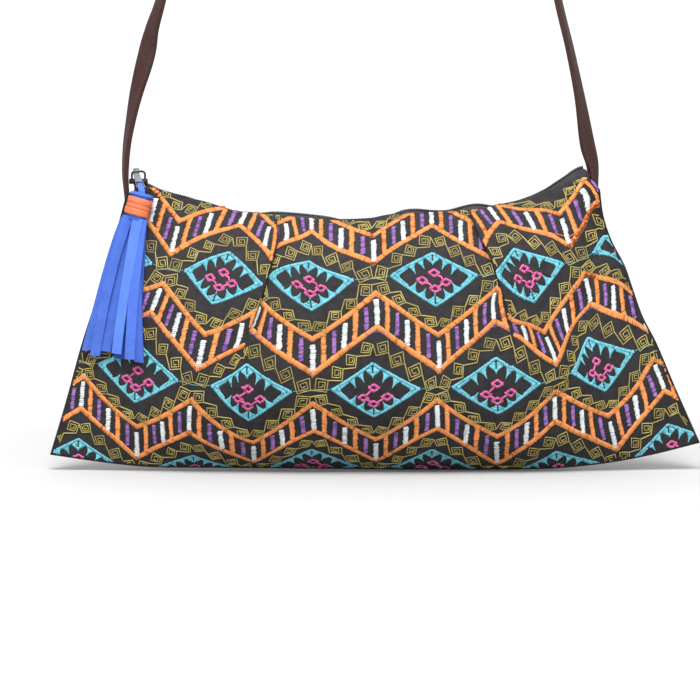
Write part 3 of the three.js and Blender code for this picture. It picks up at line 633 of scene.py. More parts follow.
@dataclass(frozen=True)
class Finish:
    """Base of every finish: two colours mixed in soft patches on one Principled shader.

    Patches are noise scales, broad and fine. Over_tone is their share over a tone that the piece's points
    carry, rough_swing their share in the roughness, raised the bump's reach in metres and its strength, and
    sockets what else the shader is set to.
    """

    name: str
    dark: str
    pale: str
    roughness: float = 0.5
    patches: Pair = (60.0, 2600.0)
    over_tone: float | None = None
    rough_swing: float = 0.2
    specular: float = 0.5
    raised: Pair | None = None
    sockets: Sockets = ()

    def material(self) -> bpy.types.Material:
        """The finish's material, built on first use.

        Returns:
            The material.
        """
        known = bpy.data.materials.get(self.name)
        if known:
            return known
        material = bpy.data.materials.new(self.name)
        material.use_nodes = True
        tree = material.node_tree
        shader = next(n for n in tree.nodes if n.type == "BSDF_PRINCIPLED")
        self.wire(tree, shader)
        return material

    def wire(self, tree: Tree, shader: Node) -> None:
        """Wires the patches to colour, roughness and bump.

        Args:
            tree: The material's tree.
            shader: Its Principled shader.
        """
        patches = self.mottle(tree)
        share = patches
        if self.over_tone:
            tone = add_node(tree, "ShaderNodeAttribute", attribute_name=TONE).outputs["Fac"]
            share = math_node(tree, "MULTIPLY_ADD", patches, self.over_tone, tone)
        self.coat(tree, shader, self.blend(tree, share), patches, patches)

    def coat(self, tree: Tree, shader: Node, colour: Socket, uneven: Socket, height: Socket) -> None:
        """Wires the shader's own sockets.

        Args:
            tree: The material's tree.
            shader: Its Principled shader.
            colour: Colour of the surface.
            uneven: Value that varies the roughness.
            height: Value that raises the surface.
        """
        tree.links.new(colour, shader.inputs["Base Color"])
        fixed = (("Specular IOR Level", self.specular), ("Roughness", self.roughness))
        for socket, value in fixed + self.sockets:
            shader.inputs[socket].default_value = value
        if self.rough_swing:
            rough = math_node(tree, "MULTIPLY_ADD", uneven, self.rough_swing, self.roughness)
            tree.links.new(rough, shader.inputs["Roughness"])
        if self.raised:
            reach, strength = self.raised
            inputs = {"Height": height, "Distance": reach, "Strength": strength}
            bump = add_node(tree, "ShaderNodeBump", inputs)
            tree.links.new(bump.outputs[0], shader.inputs["Normal"])

    def blend(self, tree: Tree, share: Socket) -> Socket:
        """Colour between the dark and the pale one."""
        return mix_colours(tree, share, linear(self.dark), linear(self.pale))

    def mottle(self, tree: Tree) -> Socket:
        """The finish's soft patches."""
        broad, fine = self.patches
        return self.effect(tree, EFFECTS.mottle, Place=self.place(tree), Broad=broad, Fine=fine).outputs[0]

    @staticmethod
    def place(tree: Tree) -> Socket:
        """Object coordinates."""
        return add_node(tree, "ShaderNodeTexCoord").outputs["Object"]

    @staticmethod
    def effect(tree: Tree, group: Tree, **inputs: object) -> Node:
        """Places a shared effect; underscores in input names stand for spaces."""
        named = {key.replace("_", " "): value for key, value in inputs.items()}
        return add_node(tree, "ShaderNodeGroup", named, node_tree=group)


@dataclass(frozen=True)
class WovenFinish(Finish):
    """Twill cloth or woven tape, with the pitch of its ribs and threads in metres."""

    roughness: float = 0.85
    patches: Pair = (18.0, 300.0)
    rough_swing: float = -0.12
    specular: float = 0.15
    raised: Pair = (0.00022, 0.9)
    fading: float = 0.3
    rib: float = 0.0012
    thread: float = 0.0004

    def wire(self, tree: Tree, shader: Node) -> None:
        """Wires the weave to colour, roughness and bump.

        Args:
            tree: The material's tree.
            shader: Its Principled shader.
        """
        flat = add_node(tree, "ShaderNodeUVMap", uv_map=FLAT_UV).outputs[0]
        weave = self.effect(
            tree, EFFECTS.weave, Place=flat, Rib_Pitch=self.rib, Thread_Pitch=self.thread
        ).outputs
        # The weave's Shade darkens the grooves between ribs as painted shade.
        share = math_node(tree, "MULTIPLY_ADD", self.mottle(tree), self.fading, weave["Shade"])
        self.coat(tree, shader, self.blend(tree, share), weave["Height"], weave["Height"])


@dataclass(frozen=True)
class ThreadFinish(Finish):
    """Stranded embroidery thread, each stitch with a tone of its own; in the embroidery the dark colour is
    partly painted shade, taken by the padding between stitches and by the stitches set in shade.
    """

    over_tone: float = 0.22
    rough_swing: float = 0.14
    specular: float = 0.3
    raised: Pair = (0.00012, 0.6)


@dataclass(frozen=True)
class SuedeFinish(Finish):
    """Brushed suede with a soft nap, each strip with a tone of its own, partly random and partly painted
    shade that darkens the strips lying further back.
    """

    roughness: float = 0.85
    patches: Pair = (120.0, 1500.0)
    over_tone: float = 0.35
    rough_swing: float = 0.1
    raised: Pair = (0.0003, 0.7)
    sockets: Sockets = (("Sheen Weight", 0.35), ("Sheen Roughness", 0.4), ("Sheen Tint", linear("4b72d0")))


@dataclass(frozen=True)
class LeatherFinish(Finish):
    """Waxed leather, rubbed paler in patches and darker in its pores."""

    roughness: float = 0.55
    patches: Pair = (45.0, 220.0)
    rough_swing: float = 0.18
    specular: float = 0.25
    raised: Pair = (0.0003, 0.55)
    pores: str = "180b0a"
    pore_share: float = 0.55
    grain: float = 950.0

    def wire(self, tree: Tree, shader: Node) -> None:
        """Wires grain, pores and rubbed patches.

        Args:
            tree: The material's tree.
            shader: Its Principled shader.
        """
        grain = self.effect(tree, EFFECTS.grain, Place=self.place(tree), Scale=self.grain).outputs
        patches = self.mottle(tree)
        share = math_node(tree, "MULTIPLY", grain["Pores"], self.pore_share)
        colour = mix_colours(tree, share, self.blend(tree, patches), linear(self.pores))
        self.coat(tree, shader, colour, patches, grain["Height"])


@dataclass(frozen=True)
class MetalFinish(Finish):
    """Plated metal with fine scuffs."""

    patches: Pair = (160.0, 1900.0)
    raised: Pair = (0.00006, 0.4)
    sockets: Sockets = (("Metallic", 1.0),)


@dataclass(frozen=True)
class NylonFinish(Finish):
    """Moulded nylon of the zip's coil, slightly uneven."""

    patches: Pair = (90.0, 1200.0)
    specular: float = 0.25


@dataclass(frozen=True)
class PaperFinish(Finish):
    """Matt white paper with painted light: its emission grows away from the bag's foot, so the floor near the
    foot keeps its shade; lengths in metres.
    """

    roughness: float = 0.9
    patches: Pair = (2.0, 30.0)
    rough_swing: float = 0.0
    specular: float = 0.1
    sockets: Sockets = (("Emission Color", WHITE_LIGHT),)
    foot: Triple = (0.0, 0.0, -0.682)
    reach: Pair = (0.1, 0.7)
    glow: Pair = (0.02, 0.62)

    def wire(self, tree: Tree, shader: Node) -> None:
        """Wires a faint unevenness and the glow.

        Args:
            tree: The material's tree.
            shader: Its Principled shader.
        """
        super().wire(tree, shader)
        away = add_node(
            tree, "ShaderNodeVectorMath", {0: self.place(tree), 1: self.foot}, operation="DISTANCE"
        ).outputs["Value"]
        (near, far), (low, high) = self.reach, self.glow
        glow = add_node(tree, "ShaderNodeMapRange", {
            "Value": away, "From Min": near, "From Max": far, "To Min": low, "To Max": high,
        }, interpolation_type="SMOOTHSTEP")
        tree.links.new(glow.outputs[0], shader.inputs["Emission Strength"])


CLOTH = WovenFinish("charcoal twill", "020202", "333133")
TAPE = WovenFinish("zip tape weave", "252528", "444448", rib=0.0005, thread=0.0003)
LEATHER = LeatherFinish("brown leather", "2b1512", "3a201b")
SUEDE = SuedeFinish("royal blue suede", "1b3383", "4b72d0")
BINDING = ThreadFinish("binding thread", "86330f", "d0714a", 0.42)
LEATHER_STITCH = ThreadFinish("strap stitch", "2c1d18", "4a342b", 0.6)
GUNMETAL = MetalFinish("gunmetal", "18181b", "2e2e32", 0.34)
NICKEL = MetalFinish("brushed nickel", "484a4e", "6a6d71", 0.45)
COIL = NylonFinish("zip coil nylon", "111113", "3a3a40")
# The sweep glows as painted light, faintly at the bag's foot and brightly further off.
SWEEP = PaperFinish("white sweep", "b0b0b0", "b2b2b2")
THREADS = {
    Thread.ORANGE: ThreadFinish("orange thread", "ad541f", "e5904f"),
    Thread.WHITE: ThreadFinish("white thread", "a2a8ad", "d4d8d8"),
    Thread.PURPLE: ThreadFinish("purple thread", "5c357b", "966bac"),
    Thread.CYAN: ThreadFinish("cyan thread", "328499", "6ab7c6"),
    Thread.PINK: ThreadFinish("pink thread", "992b62", "d2639b"),
    Thread.OLIVE: ThreadFinish("olive thread", "706430", "afa05a"),
}


def dress(piece: Piece, finish: Finish, body: Body, slot: Slot, *nodes: str) -> Piece:
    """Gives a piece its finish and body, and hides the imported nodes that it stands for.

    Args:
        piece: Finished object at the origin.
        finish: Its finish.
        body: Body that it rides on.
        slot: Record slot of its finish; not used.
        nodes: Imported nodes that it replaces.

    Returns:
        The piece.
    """
    if not piece.data.materials:
        piece.data.materials.append(finish.material())
    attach(piece, body.value)
    if nodes:
        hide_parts(*nodes)
    LOG.info("%s: %d faces, rides on %s", piece.name, len(piece.data.polygons), body.value)
    return piece


class NodeTool:
    """Geometry Nodes tree with named inputs that turns a carrier mesh into a plain mesh."""

    def __init__(self, name: str, inputs: dict[str, str]) -> None:
        """Makes the tree's sockets.

        Args:
            name: Tree name.
            inputs: Socket type by input name, after the carrier's geometry.
        """
        self.tree = bpy.data.node_groups.new(name, "GeometryNodeTree")
        sockets = self.tree.interface
        sockets.new_socket(name="Carrier", in_out="INPUT", socket_type="NodeSocketGeometry")
        self.keys = {
            label: sockets.new_socket(name=label, in_out="INPUT", socket_type=kind).identifier
            for label, kind in inputs.items()
        }
        sockets.new_socket(name="Mesh", in_out="OUTPUT", socket_type="NodeSocketGeometry")
        self.given = add_node(self.tree, "NodeGroupInput").outputs
        self.put = add_node(self.tree, "NodeGroupOutput")

    def attribute(self, name: str, kind: str = "FLOAT_VECTOR") -> Socket:
        """A named attribute of the carrier."""
        node = add_node(self.tree, "GeometryNodeInputNamedAttribute", {"Name": name}, data_type=kind)
        return node.outputs["Attribute"]

    def line(self) -> Socket:
        """The carrier's edges as curves."""
        return add_node(self.tree, "GeometryNodeMeshToCurve", {"Mesh": self.given["Carrier"]}).outputs[0]

    def repeat(self, points: Socket, shape: str, ahead: object, up: object, scale: object) -> None:
        """Ends the tree in copies of a shape.

        Args:
            points: Places of the copies.
            shape: Name of the input that holds the shape.
            ahead: Direction of each copy's X.
            up: Direction of each copy's Z.
            scale: Size of each copy.
        """
        source = add_node(self.tree, "GeometryNodeObjectInfo", {"Object": self.given[shape]})
        turn = add_node(
            self.tree, "FunctionNodeAxesToRotation", {0: ahead, 1: up}, primary_axis="X", secondary_axis="Z"
        ).outputs[0]
        self.close(add_node(self.tree, "GeometryNodeInstanceOnPoints", {
            "Points": points, "Instance": source.outputs["Geometry"], "Rotation": turn, "Scale": scale,
        }).outputs[0])

    def close(self, geometry: Socket) -> None:
        """Ends the tree in realized, smooth, dressed geometry.

        Args:
            geometry: What the tree has made.
        """
        real = add_node(self.tree, "GeometryNodeRealizeInstances", {0: geometry}).outputs[0]
        smooth = add_node(self.tree, "GeometryNodeSetShadeSmooth", {"Geometry": real}).outputs[0]
        node = add_node(
            self.tree, "GeometryNodeSetMaterial", {"Geometry": smooth, "Material": self.given["Finish"]}
        )
        self.tree.links.new(node.outputs[0], self.put.inputs["Mesh"])

    def run(self, name: str, carrier: Mesh, finish: Finish, **values: object) -> Piece:
        """Evaluates the tree on a carrier.

        Args:
            name: Name of the new piece.
            carrier: Mesh that the tree works on.
            finish: Finish of the result.
            values: Inputs by name, with underscores for spaces.

        Returns:
            A piece with a plain mesh and no modifier.
        """
        holder = add_object(name + ".carrier", carrier)
        modifier = holder.modifiers.new(self.tree.name, "NODES")
        modifier.node_group = self.tree
        modifier[self.keys["Finish"]] = finish.material()
        for label, value in values.items():
            modifier[self.keys[label.replace("_", " ")]] = value
        ready = holder.evaluated_get(bpy.context.evaluated_depsgraph_get())
        mesh = bpy.data.meshes.new_from_object(ready)
        mesh.name = name
        bpy.data.objects.remove(holder)
        return add_object(name, mesh)


class SewingTool(NodeTool):
    """Sews one stitch at each carrier point, laid along `lie` and standing on `out`."""

    RINGS = ((-0.5, 0.6, 0.2), (-0.3, 1.0, 0.95), (0.3, 1.0, 0.95), (0.5, 0.6, 0.2))
    SUNK = -0.1

    def __init__(self) -> None:
        """Builds the tree and the stitch that it repeats."""
        super().__init__("sew stitches", {"Stitch": "NodeSocketObject", "Finish": "NodeSocketMaterial"})
        lie, out, size = (self.attribute(label) for label in ("lie", "out", "size"))
        self.repeat(self.given["Carrier"], "Stitch", lie, out, size)
        self.stitch = self._stitch()

    def _stitch(self) -> Piece:
        """One arched stitch of unit length, girth and height, lying along X.

        Returns:
            The stitch, each ring of it a crown between two sunk edges.
        """
        points = [
            (x, wide * side, self.SUNK if side else high)
            for x, wide, high in self.RINGS for side in (-0.5, 0, 0.5)
        ]
        faces = loft(np.array(points).reshape(len(self.RINGS), -1, 3))[1]
        return repeated_shape("stitch", points, faces)

    def sew(self, name: str, seats: "Seats3D", finish: Finish) -> Piece:
        """Sews stitches at seats in the bag's own frame.

        Args:
            name: Name of the piece.
            seats: Places, directions and sizes of the stitches.
            finish: Thread finish.

        Returns:
            One mesh of all the stitches.
        """
        mesh = bpy.data.meshes.new(name + ".seats")
        mesh.from_pydata(to_row_frame(seats.middle).tolist(), [], [])
        for label, values in (
            ("lie", seats.lie), ("out", seats.out), ("size", seats.size * MM), (TONE, seats.tone),
        ):
            store(mesh, label, values)
        return self.run(name, mesh, finish, Stitch=self.stitch)


class CouchingTool(NodeTool):
    """Lays a round thread along the carrier's edges."""

    TONES = (0.35, 1.0)

    def __init__(self) -> None:
        """Builds the tree."""
        super().__init__("couch threads", {
            "Radius": "NodeSocketFloat", "Sides": "NodeSocketInt", "Finish": "NodeSocketMaterial",
        })
        round_section = add_node(self.tree, "GeometryNodeCurvePrimitiveCircle", {
            "Resolution": self.given["Sides"], "Radius": self.given["Radius"],
        }).outputs[0]
        self.close(add_node(self.tree, "GeometryNodeCurveToMesh", {
            "Curve": self.line(), "Profile Curve": round_section, "Fill Caps": True,
        }).outputs[0])

    def lay(
        self, name: str, lines: Sequence[Array], finish: Finish, radius: float, sides: int
    ) -> Piece:
        """Lays threads along lines in the bag's own frame.

        Args:
            name: Name of the piece.
            lines: Point rows, one for each thread.
            finish: Thread finish.
            radius: Thread radius in millimetres.
            sides: Corners of the thread's section.

        Returns:
            One mesh of all the threads.
        """
        rng = np.random.default_rng(len(lines))
        ends = np.cumsum([0] + [len(line) for line in lines])
        edges = [(i, i + 1) for a, b in zip(ends, ends[1:]) for i in range(a, b - 1)]
        mesh = bpy.data.meshes.new(name + ".lines")
        mesh.from_pydata(to_row_frame(np.vstack(lines)).tolist(), edges, [])
        tones = np.concatenate([np.full(len(line), rng.uniform(*self.TONES)) for line in lines])
        store(mesh, TONE, tones)
        return self.run(name, mesh, finish, Radius=radius * MM, Sides=sides)


class ToothTool(NodeTool):
    """Sets an even number of ribs across the carrier's line."""

    def __init__(self) -> None:
        """Builds the tree."""
        super().__init__("zip ribs", {
            "Rib": "NodeSocketObject", "Count": "NodeSocketInt", "Finish": "NodeSocketMaterial",
        })
        seats = add_node(self.tree, "GeometryNodeCurveToPoints", {
            "Curve": self.line(), "Count": self.given["Count"],
        }).outputs
        self.repeat(seats["Points"], "Rib", seats["Tangent"], (0.0, 0.0, 1.0), (1.0, 1.0, 1.0))


SEWING = SewingTool()
COUCHING = CouchingTool()
RIBBING = ToothTool()


@dataclass(frozen=True)
class PanelForm:
    """Shape of one cloth panel of the pouch."""

    side: int
    half_depth: float = 32.0
    wall: float = 1.6
    gap: float = 0.3
    tuck_half: float = 3.0
    tuck_reach: float = 0.16
    pleat_rise: float = 3.2
    pleat_fade: float = 24.0
    dent_width: float = 7.0
    seam_power: int = 3
    seam_hold: float = 3.0
    hem_hold: float = 0.1
    swell: float = 0.55
    swell_lengths: Pair = (13.0, 31.0)
    swell_turns: Pair = (4.3, 9.0)
    swell_sway: float = 2.2
    swell_start: float = 0.7
    drag: float = 0.5
    drag_length: float = 7.5
    drag_slant: float = 70.0
    drag_level: Pair = (0.2, 0.22)
    drag_beyond: Pair = (40.0, 90.0)
    nudge: Pair = (0.6, 0.005)
    halvings: int = 24

    def smooth(self, x: Array, v: Array) -> tuple[Array, Array, Array]:
        """Inner face without folds.

        Args:
            x: Places across.
            v: Shares of the way from the zip to the bottom seam.

        Returns:
            Depth from the middle plane, height, and nearness to the side seam from 0 to 1.
        """
        left, right = SIDES.read("left", v), SIDES.read("right", v)
        across = np.clip((2 * x - left - right) / (right - left), -1, 1)
        edge = np.abs(across) ** self.seam_power
        heights = []
        for rim, at in ((TOP_EDGE, 0.0), (BOTTOM_EDGE, 1.0)):
            low, high = SIDES.read("left", at), SIDES.read("right", at)
            heights.append(rim.read("z", (low + high) / 2 + across * (high - low) / 2))
        drop = PROFILE.read("drop", v)
        drop = drop + (v - drop) * edge
        bulge = self.half_depth * PROFILE.read("depth", v) * (1 - edge)
        tuck = self.tuck_half * smoothstep(self.tuck_reach - v, 0, self.tuck_reach) * edge ** 2
        return self.gap / 2 + tuck + bulge, heights[0] + (heights[1] - heights[0]) * drop, edge

    def relief(self, x: Array, v: Array) -> Array:
        """Slack of the stitched cloth: soft swells and drag lines.

        Args:
            x: Places across.
            v: Shares of the way down.

        Returns:
            Heights over the smooth face.
        """
        (short, long), (slow, fast) = self.swell_lengths, self.swell_turns
        swell = self.swell * np.sin(x / short + self.swell_sway * np.sin(slow * v))
        swell = swell * np.sin(fast * v + x / long + self.swell_start)
        level, spread = self.drag_level
        drag = self.drag * np.sin((x + self.drag_slant * v) / self.drag_length)
        drag = drag * np.exp(-((v - level) / spread) ** 2)
        return swell + drag * smoothstep(np.abs(x), *self.drag_beyond)

    def face(self, x: Array, v: Array, lap: Array | float) -> Array:
        """Outer face of the cloth.

        Args:
            x: Places across.
            v: Shares of the way down.
            lap: 1 on a pleat's lapped layer and 0 under it.

        Returns:
            Points in the bag's own frame.
        """
        x, v = np.broadcast_arrays(np.asarray(x, float), np.asarray(v, float))
        depth, z, edge = self.smooth(x, v)
        loose = np.minimum(1, self.seam_hold * (1 - edge)) * smoothstep(1 - v, 0, self.hem_hold)
        outward = np.where(x < 0, PLEATS.read("left", v) - x, x - PLEATS.read("right", v))
        rise = self.pleat_rise * np.clip(PLEATS.read("rise", v), 0, 1)
        proud = lap * rise * np.exp(-(np.maximum(outward, 0) / self.pleat_fade) ** 2)
        away = (x - DENT.read("x", v)) / self.dent_width
        dent = np.maximum(DENT.read("depth", v), 0) * np.exp(-away * away)
        depth = np.maximum(depth + (proud - dent + self.relief(x, v)) * loose, self.gap / 2) + self.wall
        return np.stack([x, self.side * depth, z], -1)

    def normal(self, x: Array, v: Array, lap: Array | float) -> Array:
        """Outward direction of the outer face.

        Args:
            x: Places across.
            v: Shares of the way down.
            lap: 1 on a pleat's lapped layer and 0 under it.

        Returns:
            Directions of length one.
        """
        aside, below = self.nudge
        along = self.face(x + aside, v, lap) - self.face(x - aside, v, lap)
        down = self.face(x, v + below, lap) - self.face(x, v - below, lap)
        return unit(np.cross(along, down)) * -self.side

    def level_at(self, x: Array, z: Array) -> Array:
        """Finds places seen from the front, by halving.

        Args:
            x: Places across.
            z: Heights.

        Returns:
            Shares of the way down.
        """
        upper, lower = np.zeros_like(x), np.ones_like(x)
        for _ in range(self.halvings):
            v = (upper + lower) / 2
            higher = self.smooth(self.inside(x, v), v)[1] > z
            upper, lower = np.where(higher, v, upper), np.where(higher, lower, v)
        return upper

    def depth_behind(self, x: Array, z: Array) -> Array:
        """Y of the outer face at places seen from the front."""
        v = self.level_at(x, z)
        return self.face(self.inside(x, v), v, 1.0)[..., 1]

    @staticmethod
    def inside(x: Array, v: Array) -> Array:
        """Places across, held between the side seams."""
        return np.clip(x, SIDES.read("left", v), SIDES.read("right", v))


@dataclass(frozen=True)
class PhotoView:
    """The photo's camera, in millimetres of the bag's own frame."""

    aim: Triple = (-12.7, 0.0, -80.3)
    elevation: float = math.radians(5)
    distance: float = 1250.0
    width: float = 355.6
    pixels: float = 700.0
    settling: int = 16

    def origin(self) -> Array:
        """Place of the camera."""
        back = np.array([0, -math.cos(self.elevation), math.sin(self.elevation)])
        return np.array(self.aim) + back * self.distance

    def rays(self, px: Array, py: Array) -> Array:
        """Directions through photo pixels.

        Args:
            px: Pixels from the photo's left.
            py: Pixels from its top.

        Returns:
            One direction for each pixel.
        """
        ahead = np.array([0, math.cos(self.elevation), -math.sin(self.elevation)])
        up = np.array([0, math.sin(self.elevation), math.cos(self.elevation)])
        across = (px / self.pixels - 0.5) * self.width
        above = (0.5 - py / self.pixels) * self.width
        return ahead * self.distance + across[:, None] * AXIS_X + above[:, None] * up

    def on_panel(self, form: PanelForm, px: Array, py: Array, lap: float) -> Array:
        """Finds photo pixels on a panel.

        Args:
            form: The front panel's shape.
            px: Pixels from the photo's left.
            py: Pixels from its top.
            lap: 1 on a pleat's lapped layer and 0 under it.

        Returns:
            Place across and share down for each pixel.
        """
        origin, rays = self.origin(), self.rays(px, py)
        y = np.full(len(px), -form.half_depth / 2)
        for _ in range(self.settling):
            points = origin + rays * ((y - origin[1]) / rays[:, 1])[:, None]
            v = form.level_at(points[:, 0], points[:, 2])
            y = (y + form.face(points[:, 0], v, lap)[:, 1]) / 2
        return np.stack([points[:, 0], v], 1)


VIEW = PhotoView()


@dataclass(frozen=True)
class Pattern:
    """Flat measures of the zigzag bands and of the diamonds between them."""

    repeat: float = 62.0
    swing: float = 12.7
    band: float = 18.3
    row_drop: float = 58.4
    first: float = 0.5
    rows: int = 3
    diamond: Pair = (22.8, 14.75)
    diamond_drop: float = 32.5

    def upper(self, row: int, s: Array) -> Array:
        """Upper zigzag line of a band; odd rows are mirrored.

        Args:
            row: Row of the pattern.
            s: Flat places across.

        Returns:
            Flat places down.
        """
        phase = np.mod(np.asarray(s, float) / self.repeat, 1.0)
        wave = 1 - 4 * np.minimum(phase, 1 - phase)
        return self.first + row * self.row_drop + self.swing * wave * (1 if row % 2 == 0 else -1)

    def diamond_row(self, row: int) -> float:
        """Height of the middles of a row of diamonds."""
        return self.first + row * self.row_drop + self.band - self.swing + self.diamond_drop

    def flat(self, mark: Mark, row: int, step: float) -> Pair:
        """Flat place of a mark.

        Args:
            mark: Kind of mark.
            row: Row of the pattern.
            step: Half repeats from the middle.

        Returns:
            Flat places across and down.
        """
        s = step * self.repeat / 2
        down_band = {Mark.UPPER: 0.0, Mark.BAR: 0.5, Mark.LOWER: 1.0}
        if mark in down_band:
            return s, float(self.upper(row, s)) + self.band * down_band[mark]
        half, tall = self.diamond
        aside = {Mark.LEFT: -half, Mark.RIGHT: half}.get(mark, 0)
        down = {Mark.TOP: -tall, Mark.BOTTOM: tall}.get(mark, 0)
        return s + aside, self.diamond_row(row) + down


PATTERN = Pattern()


class Net:
    """Smooth map from the flat cloth to the panel, through marks seen on the photo."""

    SCALE = 0.01
    GIVE = 1e-4
    LEAST_SQUARE = 1e-12

    def __init__(self, form: PanelForm, marks: Sequence[tuple], lap: float) -> None:
        """Solves the map's weights.

        Args:
            form: The front panel's shape.
            marks: Mark, row, step and photo pixel of each point.
            lap: 1 for marks on a pleat's lapped layer and 0 for those under it.
        """
        flat = np.array([PATTERN.flat(*mark[:3]) for mark in marks])
        seen = np.array([mark[3:] for mark in marks], float)
        found = VIEW.on_panel(form, seen[:, 0], seen[:, 1], lap)
        self.knots = flat * self.SCALE
        count = len(marks)
        plane = np.hstack([np.ones((count, 1)), self.knots])
        pull = self._pull(self.knots) + self.GIVE * np.eye(count)
        system = np.block([[pull, plane], [plane.T, np.zeros((3, 3))]])
        self.weights = np.linalg.solve(system, np.vstack([found, np.zeros((3, 2))]))

    def _pull(self, places: Array) -> Array:
        """Pull of every knot at each place."""
        square = ((places[:, None] - self.knots[None]) ** 2).sum(2)
        return square * np.log(np.maximum(square, self.LEAST_SQUARE))

    def read(self, s: Array, t: Array) -> tuple[Array, Array]:
        """Carries flat places on to the panel.

        Args:
            s: Flat places across.
            t: Flat places down.

        Returns:
            Place across and share down.
        """
        places = np.stack([s, t], 1) * self.SCALE
        known = np.hstack([self._pull(places), np.ones((len(places), 1)), places])
        found = known @ self.weights
        return found[:, 0], found[:, 1]


@dataclass
class Seats3D:
    """Stitches in the bag's own frame."""

    middle: Array
    lie: Array
    out: Array
    size: Array
    tone: Array


class FlatCloth:
    """Carries places on the flat cloth on to the gathered panel."""

    HALF_WIDTH = 165.0
    HEIGHT = 158.5
    DIVIDES = (-64.5, 69.5)
    HEM = 0.006
    RIM = 0.004
    SEAM = 0.8
    FLAT_RISE = 0.04

    def __init__(self, form: PanelForm) -> None:
        """Fits one map between the pleats and one beyond each.

        Args:
            form: Shape of the panel.
        """
        self.form = form
        front = PanelForm(-1)
        self.nets = (
            Net(front, SEEN_LEFT + SEEN_LEFT_JOIN, 1.0),
            Net(front, SEEN_LEFT_JOIN + SEEN_MIDDLE + SEEN_RIGHT_JOIN, 0.0),
            Net(front, SEEN_RIGHT_JOIN + SEEN_RIGHT, 1.0),
        )

    def locate(self, s: Array, t: Array) -> tuple[Array, Array, Array, Array]:
        """Finds flat places on the panel.

        Args:
            s: Places across the flat cloth.
            t: Places down it.

        Returns:
            Place across, share down, lap layer, and whether the place shows.
        """
        s, t = np.asarray(s, float), np.asarray(t, float)
        zone = np.searchsorted(self.DIVIDES, s)
        x, v = np.zeros_like(s), np.zeros_like(s)
        for index, net in enumerate(self.nets):
            here = zone == index
            if here.any():
                x[here], v[here] = net.read(s[here], t[here])
        level = np.clip(v, 0, 1)
        left, right = PLEATS.read("left", level), PLEATS.read("right", level)
        flat = PLEATS.read("rise", level) < self.FLAT_RISE
        fold_side = np.choose(zone, [x < left, (x > left) & (x < right), x > right])
        inside = (x > SIDES.read("left", level) + self.SEAM) & (x < SIDES.read("right", level) - self.SEAM)
        shown = (v > -self.RIM) & (v < 1 - self.HEM) & inside & (flat | fold_side)
        return x, level, np.where(zone == 1, 0.0, 1.0), shown

    def place(self, s: Array, t: Array) -> tuple[Array, Array, Array]:
        """Points, outward directions and visibility of flat places."""
        x, v, lap, shown = self.locate(s, t)
        return self.form.face(x, v, lap), self.form.normal(x, v, lap), shown


